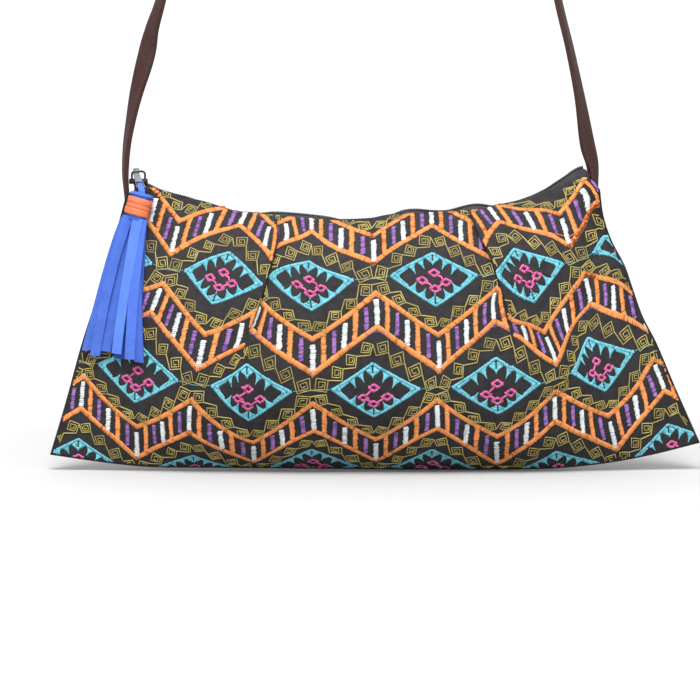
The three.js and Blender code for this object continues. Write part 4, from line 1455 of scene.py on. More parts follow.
@dataclass
class ClothPanel:
    """One panel of the pouch: a gathered sheet with two lapped pleats."""

    name: str
    node: str
    form: PanelForm
    rows: int = 96
    outer_columns: int = 62
    middle_columns: int = 74
    nose: float = 0.9
    under: float = 4.0
    under_share: float = 0.5
    slack: float = 1.5
    hem_round: float = 0.5
    lap_course: tuple[Triple, ...] = (
        (0.5, 0, 0.93), (0.8, 0, 0.75), (0.6, 0, 0.5), (0, 0, 0.4), (0, -0.5, 0.34), (0, -1, 0.28),
        (0, -1.1, 0.16), (0, -1, 0.05), (0, -0.5, 0.0),
    )

    def build(self, cloth: FlatCloth) -> Piece:
        """Builds and dresses the panel.

        Args:
            cloth: Map of the panel's flat cloth.

        Returns:
            The panel as one closed sheet.
        """
        v = np.linspace(0, 1, self.rows + 1)
        left, right = (self._half(cloth, side, v) for side in (-1, 1))
        outer, flat = (
            np.concatenate([a, b, c[:, ::-1]], axis=1) for a, b, c in zip(left, self._middle(v), right)
        )
        inner = self.form.face(outer[..., 0], v[:, None], 0.0)
        inner[..., 1] -= self.form.side * self.form.wall
        points, faces, uv = self._close(outer, inner, flat)
        piece = add_object(self.name, build_mesh(self.name, points, faces, uv))
        return dress(piece, CLOTH, Body.BAG, Slot.CLOTH, self.node)

    def _half(self, cloth: FlatCloth, side: int, v: Array) -> tuple[Array, Array]:
        """Outer part and lap of one half, from the seam to the fold.

        Args:
            cloth: Map of the panel's flat cloth.
            side: -1 for the left half and 1 for the right one.
            v: Shares of the way down.

        Returns:
            Grid of points and of flat places.
        """
        name = "left" if side < 0 else "right"
        fold = np.abs(PLEATS.read(name, v))[:, None]
        tucked = np.maximum(TUCKED.read(name, v), 0)[:, None]
        rise = np.clip(PLEATS.read("rise", v), 0, 1)[:, None]
        level = np.broadcast_to(v[:, None], (len(v), self.outer_columns))
        u = np.linspace(1, 0, self.outer_columns)[None, :] * np.ones_like(level)
        seam = np.abs(SIDES.read(name, v))[:, None]
        first = fold + self.slack * (1 - rise)
        x = side * (first + (seam - first) * np.sin(u * math.pi / 2))
        outer = self.form.face(x, level, 1.0)
        flat = side * (fold + tucked + u * (cloth.HALF_WIDTH - fold - tucked))
        course = np.array(self.lap_course)
        even = np.linspace(self.slack, -self.slack, len(course) + 2)[1:-1]
        inward = self.nose * course[:, 0] + np.minimum(self.under, self.under_share * tucked) * course[:, 1]
        lap_x = side * (fold - inward * rise + even * (1 - rise))
        lap_level = np.broadcast_to(v[:, None], lap_x.shape)
        base = self.form.face(lap_x, lap_level, 0.0)
        base[..., 1] += self.form.side * self.form.pleat_rise * rise * course[:, 2]
        lap_flat = side * (fold + tucked * np.linspace(1, 0, len(course) + 2)[1:-1])
        across = np.concatenate([flat, lap_flat], axis=1)
        uv = np.stack([across, -v[:, None] * cloth.HEIGHT * np.ones_like(across)], -1)
        return np.concatenate([outer, base], axis=1), uv

    def _middle(self, v: Array) -> tuple[Array, Array]:
        """Part between the two folds.

        Args:
            v: Shares of the way down.

        Returns:
            Grid of points and of flat places.
        """
        rise = np.clip(PLEATS.read("rise", v), 0, 1)[:, None]
        left = PLEATS.read("left", v)[:, None] + self.slack * (1 - rise)
        right = PLEATS.read("right", v)[:, None] - self.slack * (1 - rise)
        x = left + (right - left) * np.linspace(0, 1, self.middle_columns)[None, :]
        level = np.broadcast_to(v[:, None], x.shape)
        down = v[:, None] * FlatCloth.HEIGHT * np.ones_like(x)
        return self.form.face(x, level, 0.0), np.stack([x, -down], -1)

    def _close(self, outer: Array, inner: Array, flat: Array) -> Skin:
        """Joins the two faces round a softly rounded rim.

        Args:
            outer: Grid of the outer face's points.
            inner: Grid of the inner face's points.
            flat: Grid of their flat places.

        Returns:
            Points, faces and flat places of the closed sheet.
        """
        rows, columns = outer.shape[:2]
        count = rows * columns
        faces = grid_faces(rows, columns)
        faces += [tuple(reversed(f)) for f in grid_faces(rows, columns, count)]
        rim = list(range(columns - 1))
        rim += [i * columns + columns - 1 for i in range(rows - 1)]
        rim += [(rows - 1) * columns + j for j in range(columns - 1, 0, -1)]
        rim += [i * columns for i in range(rows - 1, 0, -1)]
        outer_points, inner_points = outer.reshape(-1, 3), inner.reshape(-1, 3)
        middle = (outer_points[rim] + inner_points[rim]) / 2
        outwards = middle - outer_points.mean(0)
        outwards[:, 1] = 0
        middle = middle + self.hem_round * unit(outwards)
        points = np.vstack([outer_points, inner_points, middle])
        uv = flat.reshape(-1, 2)
        uv = np.vstack([uv, uv, uv[rim]])
        for k, here in enumerate(rim):
            n = (k + 1) % len(rim)
            there = rim[n]
            faces.append((here, there, 2 * count + n, 2 * count + k))
            faces.append((2 * count + k, 2 * count + n, count + there, count + here))
        return points, faces, uv


@dataclass(frozen=True)
class DiamondWork:
    """Sizes of the work in a diamond, most of them measured in from its corners."""

    outline: float = 1.45
    ragged: float = 0.06
    sharp: float = 1.4
    step: float = 0.6
    point_run: Pair = (2.9, 7.6)
    point_inset: float = 1.9
    point_waist: float = 4.2
    point_width: float = 7.6
    point_taper: float = 3.4
    point_power: float = 1.6
    point_tips: Pair = (7.6, 7.0)
    slit: float = 0.7
    slit_ends: Pair = (5.9, 6.2)
    wing_run: Pair = (3.6, 9.4)
    wing_inset: float = 2.2
    notch: float = 1.2
    notch_from: float = 5.2
    notch_spread: float = 1.55
    thorns: Pair = (0.325, 0.55)
    thorn_inset: Pair = (2.2, 1.5)
    thorn_reach: Pair = (2.2, 4.1)
    thorn_half: float = 2.0
    thorn_tip: float = 0.2
    thorn_stitches: int = 8
    thorn_start: float = 0.3
    thorn_girth: float = 0.72
    thorn_lift: float = 0.8
    rhomb: Pair = (2.7, 1.8)
    rhomb_line: float = 1.2
    rhomb_ragged: float = 0.04
    rhomb_gap: float = 2.3
    rhomb_bend: Pair = (0.5, -0.5)
    rhomb_places: tuple[Course, ...] = (
        ((0.4, -3.2), (6.2, 1.6), (0.4, 4.8), (-6.0, 0.9)),
        ((0.4, -2.5), (-5.3, 3.0), (0.0, 6.3), (6.8, 2.4)),
    )


@dataclass
class Embroidery:
    """Zigzag bands, barred and edged in satin stitch, with rows of diamonds and linked spirals."""

    cloth: FlatCloth
    name: str
    seed: int
    pattern: Pattern = PATTERN
    diamond: DiamondWork = DiamondWork()
    pitch: float = 0.95
    girth: float = 1.0
    lift: float = 0.5
    bright: Pair = (0.6, 1.0)
    shade_drop: float = 0.6
    shaded_share: float = 0.12
    shaded: dict[Thread, float] = field(default_factory=lambda: {Thread.PURPLE: 0.4, Thread.OLIVE: 0.3})
    pad_lift: float = 0.2
    pad_pitch: float = 2.6
    line_width: float = 2.6
    line_ragged: float = 0.07
    satin_jitter: float = 0.06
    satin_slant: float = 0.11
    satin_pad: float = 0.92
    satin_lap: float = 0.35
    least_mitre: float = 0.6
    bars_per_repeat: int = 12
    bar_threads: tuple[Thread, ...] = (Thread.WHITE, Thread.ORANGE, Thread.PURPLE)
    bar_widths: Triple = (2.5, 2.4, 2.1)
    bar_spans: Course = ((0.2, 0.915), (0.07, 0.93), (0.2, 0.84))
    bar_sway: float = 0.12
    bar_jitter: float = 0.05
    bar_ragged: float = 0.13
    bar_slant: float = 0.18
    bar_pad: float = 0.85
    bar_lap: float = 0.3
    first_top_bar: int = -27
    fill_lift: float = 0.85
    fill_least: float = 0.25
    least_slit: float = 0.05
    link_sag: float = 0.7
    spirals_per_repeat: int = 8
    spiral: float = 4.1
    spiral_course: tuple[float, ...] = (1.0, 0.93, 0.95, 0.84, 0.62, 0.58, 0.48, 0.42, 0.27, 0.2)
    spiral_starts: Pair = (58.0, 122.0)
    spiral_turning: float = 5.0
    spiral_shift: float = 0.25
    spiral_growth: float = 0.05
    spiral_jitter: float = 0.1
    chain_below: float = 8.3
    chain_above: float = 4.8
    loose_step: int = 4
    purple_bow: Course = ((-6, 5.6), (-2, 3.0), (2, 2.7), (6.5, 5.9))
    orange_bow: Course = ((-9, -8.2), (-3, -6.4), (1, -4.6), (5, -5.2))
    thread_spacing: float = 3.2
    thread_sides: int = 4
    thread_sunk: float = 0.3
    thread_radius: float = 0.16
    thread_radii: dict[Thread, float] = field(
        default_factory=lambda: {Thread.OLIVE: 0.27, Thread.PINK: 0.48, Thread.CYAN: 0.12}
    )
    longest_jump: float = 6.0
    trim_steps: int = 9
    least_trim: int = 2
    most_stretch: float = 1.4
    least_stitch: float = 0.3
    stitches: dict[Thread, list[Array]] = field(default_factory=lambda: {thread: [] for thread in Thread})
    threads: dict[Thread, list[Array]] = field(default_factory=lambda: {thread: [] for thread in Thread})

    def __post_init__(self) -> None:
        """Starts the random draws."""
        self.rng = np.random.default_rng(self.seed)

    def add(self, thread: Thread, start: Array, end: Array, girth: float = 1.0, lift: float = 1.0) -> None:
        """Adds straight stitches, most of them bright and some in shade.

        Args:
            thread: Thread to use.
            start: Flat places where they come up.
            end: Flat places where they go down.
            girth: Share of the usual girth.
            lift: Share of the usual height.
        """
        count = len(start)
        bright = self.rng.uniform(*self.bright, (count, 1))
        shaded = self.shaded.get(thread, self.shaded_share)
        tone = np.where(self.rng.random((count, 1)) < shaded, bright - self.shade_drop, bright)
        sizes = np.broadcast_to([girth * self.girth, lift * self.lift], (count, 2))
        self.stitches[thread].append(np.hstack([start, end, sizes, tone]))

    def pad(self, thread: Thread, start: Array, end: Array, width: float) -> None:
        """Adds the padding that satin stitches are laid over, all in the thread's dark colour as painted
        shade in the gaps between the stitches.
        """
        # Tone 0 gives the dark colour: painted shade between the stitches.
        plain = np.broadcast_to([width, self.pad_lift, 0.0], (len(start), 3))
        self.stitches[thread].append(np.hstack([start, end, plain]))

    def satin(self, thread: Thread, path: Array, width: float, ragged: float) -> None:
        """Satin stitches across a path of straight legs, mitred at its corners.

        Args:
            thread: Thread to use.
            path: Flat corner points.
            width: Width of the line.
            ragged: Share by which stitches differ in length.
        """
        legs = np.diff(path, axis=0)
        lengths = np.linalg.norm(legs, axis=1)
        across = np.stack([-legs[:, 1], legs[:, 0]], 1) / lengths[:, None]
        for k, (leg, length) in enumerate(zip(legs, lengths)):
            count = max(2, round(length / self.pitch))
            run = (np.arange(count) + 0.5) / count
            lean = np.repeat(across[k][None], count, 0)
            for other, near in ((k - 1, run * length), (k + 1, (1 - run) * length)):
                if 0 <= other < len(legs):
                    lean += across[other] * np.clip(1 - near / width, 0, 1)[:, None]
            lean = unit(lean)
            mitre = 1 / np.maximum(lean @ across[k], self.least_mitre)
            half = 0.5 * width * mitre * (1 + self.rng.normal(0, ragged, count))
            middle = path[k] + leg * run[:, None] + self.rng.normal(0, self.satin_jitter, (count, 2))
            reach = lean * half[:, None] + unit(leg) * self.satin_slant * width
            self.add(thread, middle - reach, middle + reach)
            pads = max(1, round(length / self.pad_pitch))
            ends = path[k] + leg * np.linspace(0, 1, pads + 1)[:, None]
            lap = unit(leg) * self.satin_lap
            self.pad(thread, ends[:-1] - lap, ends[1:] + lap, width * self.satin_pad)

    def bars(self, row: int) -> None:
        """White, orange and purple bars between a band's two lines.

        Args:
            row: Row of the pattern.
        """
        step = self.pattern.repeat / self.bars_per_repeat
        reach = int(self.cloth.HALF_WIDTH / step)
        first = max(-reach, self.first_top_bar) if row == 0 else -reach
        for k in range(first, reach + 1):
            kind = k % len(self.bar_threads)
            top = float(self.pattern.upper(row, k * step))
            low, high = (top + share * self.pattern.band for share in self.bar_spans[kind])
            sway = self.rng.normal(0, self.bar_sway)
            self.bar(self.bar_threads[kind], k * step, low, high, self.bar_widths[kind], sway)

    def bar(self, thread: Thread, s: float, top: float, bottom: float, width: float, sway: float) -> None:
        """One upright bar of level satin stitches.

        Args:
            thread: Thread to use.
            s: Flat place across.
            top: Flat place down of its upper end.
            bottom: Flat place down of its lower end.
            width: Width of the bar.
            sway: How far its ends lean aside.
        """
        count = max(3, round((bottom - top) / self.pitch))
        t = np.linspace(top, bottom, count) + self.rng.normal(0, self.bar_jitter, count)
        middle = s + sway * np.linspace(-1, 1, count)
        ends = []
        for side in (-1, 1):
            reach = 0.5 * width * (1 + self.rng.normal(0, self.bar_ragged, count))
            ends.append(np.stack([middle + side * reach, t - side * self.bar_slant], 1))
        self.add(thread, *ends)
        t = np.linspace(top, bottom, max(2, round((bottom - top) / self.pad_pitch)) + 1)
        column = np.full(len(t) - 1, s)
        above, below = t[:-1] - self.bar_lap, t[1:] + self.bar_lap
        self.pad(thread, np.stack([column, above], 1), np.stack([column, below], 1), width * self.bar_pad)

    def fill(self, origin: Array, ahead: Array, across: Array, widths: Array, slit: Array) -> None:
        """Cyan satin fill whose width changes along a line, split where the slit is open.

        Args:
            origin: Flat start of the line.
            ahead: Step along the line from one stitch to the next.
            across: Direction of the stitches.
            widths: Width at each stitch.
            slit: Width of the slit at each stitch.
        """
        middle = origin + np.arange(len(widths))[:, None] * ahead
        near = across * (slit / 2)[:, None]
        far = across * np.maximum(widths / 2, slit / 2 + self.fill_least)[:, None]
        whole = slit < self.least_slit
        self.add(Thread.CYAN, (middle + far)[whole], (middle - far)[whole], lift=self.fill_lift)
        for side in (-1, 1):
            inner, outer = middle + side * near, middle + side * far
            self.add(Thread.CYAN, inner[~whole], outer[~whole], lift=self.fill_lift)

    def diamonds(self, row: int) -> None:
        """Row of diamonds under a band's peaks, linked by a fine thread.

        Args:
            row: Row of the pattern.
        """
        repeat, half = self.pattern.repeat, self.pattern.diamond[0]
        offset = repeat / 2 if row % 2 == 0 else 0.0
        t = self.pattern.diamond_row(row)
        reach = int(self.cloth.HALF_WIDTH / repeat) + 1
        for k in range(-reach, reach + 1):
            s = offset + k * repeat
            if abs(s) < self.cloth.HALF_WIDTH + half:
                self.one_diamond(np.array([s, t]), row)
                right, left = s + half, s + repeat - half
                self.thread(Thread.CYAN, [(right, t), ((right + left) / 2, t + self.link_sag), (left, t)])

    def one_diamond(self, centre: Array, row: int) -> None:
        """Diamond outline with thorned sides, filled corners and four small rhombs.

        Args:
            centre: Flat place of its middle.
            row: Row of the pattern.
        """
        half, tall = self.pattern.diamond
        work = self.diamond
        aside, above = half - work.sharp * work.outline / 2, tall - work.outline / 2
        corners = np.array([(0, -above), (aside, 0), (0, above), (-aside, 0), (0, -above)])
        self.satin(Thread.CYAN, corners + centre, work.outline, work.ragged)
        for sign, tip, slit_end in zip((-1, 1), work.point_tips, work.slit_ends):
            down = np.arange(*work.point_run, work.step)
            taper = work.point_width * np.clip((tip - down) / work.point_taper, 0, 1) ** work.point_power
            wide = np.where(down < work.point_waist, 2 * half / tall * (down - work.point_inset), taper)
            slit = np.where(down < slit_end, work.slit, 0.0)
            start = centre + (0, sign * (tall - down[0]))
            self.fill(start, np.array([0, -sign * work.step]), np.array([1.0, 0.0]), wide, slit)
            over = np.arange(*work.wing_run, work.step)
            high = 2 * tall / half * (over - work.wing_inset)
            past = over - work.notch_from
            notch = np.where(past > 0, work.notch + work.notch_spread * past, 0.0)
            start = centre + (sign * (half - over[0]), 0)
            self.fill(start, np.array([-sign * work.step, 0]), np.array([0.0, 1.0]), high, notch)
            for side in (-1, 1):
                for share in work.thorns:
                    self.thorn(centre, sign, side, share)
        self.rhombs(centre, row)

    def thorn(self, centre: Array, sign: int, side: int, share: float) -> None:
        """One thorn on a diamond's side, pointing to its middle.

        Args:
            centre: Flat place of the diamond's middle.
            sign: -1 for its upper half and 1 for its lower one.
            side: -1 for its left half and 1 for its right one.
            share: Place on the side from the top or foot to the corner.
        """
        work = self.diamond
        aside, above = np.array(self.pattern.diamond) - work.thorn_inset
        apex, corner = np.array([0.0, sign * above]), np.array([side * aside, 0.0])
        along = unit(corner - apex)
        base = centre + apex + (corner - apex) * share
        run = ((np.arange(work.thorn_stitches) + work.thorn_start) / work.thorn_stitches)[:, None]
        middle = base - np.array([side, sign]) * work.thorn_reach * run
        reach = along * (work.thorn_half * (1 - run) ** 2 + work.thorn_tip)
        self.add(Thread.CYAN, middle - reach, middle + reach, work.thorn_girth, work.thorn_lift)

    def rhombs(self, centre: Array, row: int) -> None:
        """Four pink rhombs with open middles, joined by fine lines.

        Args:
            centre: Flat place of the diamond's middle.
            row: Row of the pattern.
        """
        work = self.diamond
        wide, tall = work.rhomb
        loop = np.array([(0, -tall), (wide, 0), (0, tall), (-wide, 0), (0, -tall)])
        places = centre + np.array(work.rhomb_places[row % 2])
        for place in places:
            self.satin(Thread.PINK, loop + place, work.rhomb_line, work.rhomb_ragged)
        for start, end in zip(places, places[1:]):
            ahead = unit(end - start) * work.rhomb_gap
            bend = (start + end) / 2 + work.rhomb_bend
            self.thread(Thread.PINK, [start + ahead, bend, end - ahead])

    def spirals(self, row: int) -> None:
        """Chains of square spirals under a band and over the next one.

        Args:
            row: Row of the pattern.
        """
        step = self.pattern.repeat / self.spirals_per_repeat
        count = int(self.cloth.HALF_WIDTH / step) + 1
        for flip, line_row, drop in (
            (1, row, self.pattern.band + self.chain_below), (-1, row + 1, -self.chain_above),
        ):
            last = None
            for k in range(-count, count + 1):
                s = (k + 0.5) * step
                here, ahead = self.pattern.upper(line_row, [s, s + 1])
                centre = np.array([s, here + drop]) + self.rng.normal(0, self.spiral_shift, 2)
                toward_point = (ahead < here) == (flip > 0)
                start = self.spiral_starts[0 if toward_point else 1]
                coil = self.coil(centre, start + self.rng.normal(0, self.spiral_turning), flip)
                self.thread(Thread.OLIVE, coil if last is None else np.vstack([last, coil]))
                last = coil[1:2]

    def coil(self, centre: Array, start: float, flip: int) -> Array:
        """Corners of one square spiral from its outside in.

        Args:
            centre: Flat place of its middle.
            start: Angle of its first corner in degrees.
            flip: 1 or -1, the way round that it is wound.

        Returns:
            Flat places of its corners.
        """
        growth = 1 + self.rng.normal(0, self.spiral_growth)
        reach = self.spiral * growth * np.array(self.spiral_course)
        angle = np.radians(flip * (start - 90.0 * np.arange(len(reach))))
        corners = np.stack([reach * np.cos(angle), reach * np.sin(angle)], 1)
        return centre + corners + self.rng.normal(0, self.spiral_jitter, corners.shape)

    def floats(self, row: int) -> None:
        """Loose threads left at the bands' points.

        Args:
            row: Row of the pattern.
        """
        step = self.pattern.repeat / 2
        reach = int(self.cloth.HALF_WIDTH / step)
        for k in range(-reach, reach + 1):
            s = k * step
            here, ahead = self.pattern.upper(row, [s, s + 1])
            foot = np.array([s, here + self.pattern.band])
            if row % 2 and ahead > here:
                self.thread(Thread.PURPLE, foot + self.purple_bow)
            elif row == 0 and k == self.loose_step:
                self.thread(Thread.ORANGE, foot + self.orange_bow)

    def thread(self, thread: Thread, path: Sequence) -> None:
        """Adds a fine thread along flat points, with points close enough to follow the cloth.

        Args:
            thread: Thread to use.
            path: Flat places that it passes through.
        """
        path = np.array(path, float)
        pieces = [path[:1]]
        for a, b in zip(path, path[1:]):
            parts = max(1, math.ceil(np.linalg.norm(b - a) / self.thread_spacing))
            pieces.append(a + (b - a) * (np.arange(1, parts + 1) / parts)[:, None])
        self.threads[thread].append(np.vstack(pieces))

    def draw(self) -> None:
        """Draws the whole pattern on the flat cloth."""
        half_repeat = self.pattern.repeat / 2
        reach = int(self.cloth.HALF_WIDTH / half_repeat) + 2
        turns = np.arange(-reach, reach + 1) * half_repeat
        for row in range(self.pattern.rows):
            for shift in (0.0, self.pattern.band):
                path = np.stack([turns, self.pattern.upper(row, turns) + shift], 1)
                self.satin(Thread.ORANGE, path, self.line_width, self.line_ragged)
            self.bars(row)
            self.diamonds(row)
            self.floats(row)
        for row in range(-1, self.pattern.rows):
            self.spirals(row)

    def trimmed(self, rows: Array) -> Array:
        """Stitches cut back to the longest part of each that shows.

        Args:
            rows: Stitches on the flat cloth.

        Returns:
            Those with enough left.
        """
        share = np.linspace(0, 1, self.trim_steps)
        s = rows[:, :1] + (rows[:, 2:3] - rows[:, :1]) * share
        t = rows[:, 1:2] + (rows[:, 3:4] - rows[:, 1:2]) * share
        shown = self.cloth.locate(s.ravel(), t.ravel())[3].reshape(s.shape)
        run, best, last = np.zeros((3, len(rows)), int)
        for k in range(self.trim_steps):
            run = np.where(shown[:, k], run + 1, 0)
            last = np.where(run > best, k, last)
            best = np.maximum(best, run)
        each = np.arange(len(rows))
        first = np.maximum(last - best + 1, 0)
        cut = np.stack([s[each, first], t[each, first], s[each, last], t[each, last]], 1)
        return np.hstack([cut, rows[:, 4:]])[best > self.least_trim]

    def seats(self, rows: Array) -> Seats3D:
        """Stitches of one thread on the panel, cut back where a pleat or seam hides them.

        Args:
            rows: Stitches on the flat cloth.

        Returns:
            Their seats.
        """
        both = np.stack([self.cloth.locate(rows[:, k], rows[:, k + 1])[3] for k in (0, 2)])
        middle = self.cloth.locate(rows[:, [0, 2]].mean(1), rows[:, [1, 3]].mean(1))[3]
        whole = both.all(0) & middle
        partly = (both.any(0) | middle) & ~whole
        rows = np.vstack([rows[whole], self.trimmed(rows[partly])])
        s0, t0, s1, t1, girth, lift, tone = rows.T
        start, end = self.cloth.place(s0, t0)[0], self.cloth.place(s1, t1)[0]
        out = self.cloth.place((s0 + s1) / 2, (t0 + t1) / 2)[1]
        length = np.linalg.norm(end - start, axis=1)
        longest = self.most_stretch * np.hypot(s1 - s0, t1 - t0) + self.least_stitch
        kept = (length < longest) & (length > self.least_stitch)
        size = np.stack([length, girth, lift], 1)
        middle = (start + end) / 2
        return Seats3D(middle[kept], unit(end - start)[kept], out[kept], size[kept], tone[kept])

    def lines(self, paths: Sequence[Array], lift: float) -> list[Array]:
        """Threads on the panel, broken where a pleat or seam hides them.

        Args:
            paths: Flat points of each thread.
            lift: Height of the threads' middles over the cloth.

        Returns:
            Points of each unbroken run.
        """
        found = []
        for path in paths:
            points, out, shown = self.cloth.place(path[:, 0], path[:, 1])
            points = points + out * lift
            jump = np.linalg.norm(np.diff(points, axis=0), axis=1) > self.longest_jump
            breaks = np.flatnonzero(~shown[:-1] | ~shown[1:] | jump) + 1
            found += [run for run in np.split(points, breaks) if len(run) > 1]
        return found

    def build(self) -> list[Piece]:
        """Sews every thread on to the panel.

        Returns:
            One piece for each thread's satin and one for its fine lines.
        """
        self.draw()
        pieces = []
        for thread, finish in THREADS.items():
            if self.stitches[thread]:
                seats = self.seats(np.vstack(self.stitches[thread]))
                piece = SEWING.sew(f"{self.name}_{thread.value}_satin", seats, finish)
                pieces.append(dress(piece, finish, Body.BAG, Slot.CLOTH))
            if self.threads[thread]:
                radius = self.thread_radii.get(thread, self.thread_radius)
                lines = self.lines(self.threads[thread], -self.thread_sunk * radius)
                name = f"{self.name}_{thread.value}_lines"
                piece = COUCHING.lay(name, lines, finish, radius, self.thread_sides)
                pieces.append(dress(piece, finish, Body.BAG, Slot.CLOTH))
        return pieces


def softened_copy(name: str, node: str, radius: float) -> Piece:
    """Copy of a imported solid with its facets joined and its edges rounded.

    Args:
        name: Name of the piece.
        node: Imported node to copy.
        radius: Edge radius in millimetres.

    Returns:
        The piece with a plain mesh.
    """
    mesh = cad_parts[node].data.copy()
    mesh.name = name
    mesh.materials.clear()
    shell = bmesh.new()
    shell.from_mesh(mesh)
    bmesh.ops.remove_doubles(shell, verts=shell.verts[:], dist=WELD)
    bmesh.ops.dissolve_limit(shell, angle_limit=FLAT_ANGLE, verts=shell.verts[:], edges=shell.edges[:])
    edges = [e for e in shell.edges if len(e.link_faces) == 2 and e.calc_face_angle() > EDGE_ANGLE]
    bmesh.ops.bevel(
        shell, geom=edges, offset=radius * MM, segments=2, affect="EDGES", clamp_overlap=True, profile=0.5
    )
    shell.to_mesh(mesh)
    shell.free()
    turn_outwards(mesh)
    mesh.shade_smooth()
    mesh.set_sharp_from_angle(angle=CREASE_ANGLE)
    return add_object(name, mesh)


@dataclass
class Zip:
    """Two tapes, a closed coil and a slider."""

    form: PanelForm
    start: float = -121.5
    end: float = 108.0
    coil_end: float = 104.5
    steps: int = 190
    thick: float = 0.8
    depth: float = 6.0
    flare: float = 2.2
    flare_run: float = 4.0
    tape_crease: float = math.radians(40)
    coil_half: float = 0.8
    coil_steps: int = 240
    gap: float = 0.3
    sunk: float = 0.35
    pitch: float = 1.0
    rib_size: Pair = (2.1, 2.0)
    rib_soft: float = 0.6
    rib_course: Course = ((-0.48, 0.6), (-0.2, 1), (0.2, 1), (0.48, 0.6))
    slider_edge: float = 0.22

    def tape(self, side: int) -> None:
        """One tape from inside the cloth's edge up to the coil.

        Args:
            side: -1 for the front tape and 1 for the back one.
        """
        x = np.linspace(self.start, self.end if side < 0 else self.coil_end, self.steps)
        edge, ridge = TOP_EDGE.read("z", x), RIDGE.read("z", x)
        flare = self.flare if side < 0 else 0.0
        floor = self.thick + self.coil_half + self.gap
        low = np.maximum(self.form.smooth(x, np.zeros_like(x))[0] - self.gap, floor)
        high = floor + flare * smoothstep(x, self.coil_end - self.flare_run, self.end)
        hem = np.minimum(edge, ridge - self.gap)
        top = ridge - self.sunk
        course = [(low, hem - self.depth), (low, hem), ((low + high) / 2, (hem + top) / 2), (high, top)]
        outer = [np.stack([x, side * y, z], -1) for y, z in course]
        inner = [np.stack([x, side * (y - self.thick), z], -1) for y, z in reversed(course)]
        name = "tape_front" if side < 0 else "tape_back"
        mesh = build_mesh(name, *loft(np.stack(outer + inner, axis=1)))
        mesh.set_sharp_from_angle(angle=self.tape_crease)
        dress(add_object(name, mesh), TAPE, Body.BAG, Slot.TAPE, "zip_" + name)

    def coil(self) -> None:
        """Ribs of the closed coil along the ridge."""
        x = np.linspace(self.start, self.coil_end, self.coil_steps)
        line = np.stack([x, np.zeros_like(x), RIDGE.read("z", x)], -1)
        length = np.linalg.norm(np.diff(line, axis=0), axis=1).sum()
        carrier = bpy.data.meshes.new("coil line")
        carrier.from_pydata(to_row_frame(line).tolist(), [(i, i + 1) for i in range(len(x) - 1)], [])
        piece = RIBBING.run("zip_coil", carrier, COIL, Rib=self._rib(), Count=round(length / self.pitch))
        dress(piece, COIL, Body.BAG, Slot.TEETH, "zip_teeth")

    def _rib(self) -> Piece:
        """One rib: a rounded bar over the ridge.

        Returns:
            The rib.
        """
        profile = rounded_bar(*self.rib_size, self.rib_soft, 2)
        points = [(x, w * k, d * k) for x, k in self.rib_course for w, d in profile]
        corners, faces, _ = loft(np.array(points).reshape(len(self.rib_course), -1, 3))
        return repeated_shape("rib", (corners * MM).tolist(), faces)

    def build(self) -> None:
        """Builds the tapes, the coil and the slider."""
        self.tape(-1)
        self.tape(1)
        self.coil()
        piece = softened_copy("slider", "zip_slider", self.slider_edge)
        dress(piece, GUNMETAL, Body.BAG, Slot.ZIP_METAL, "zip_slider")


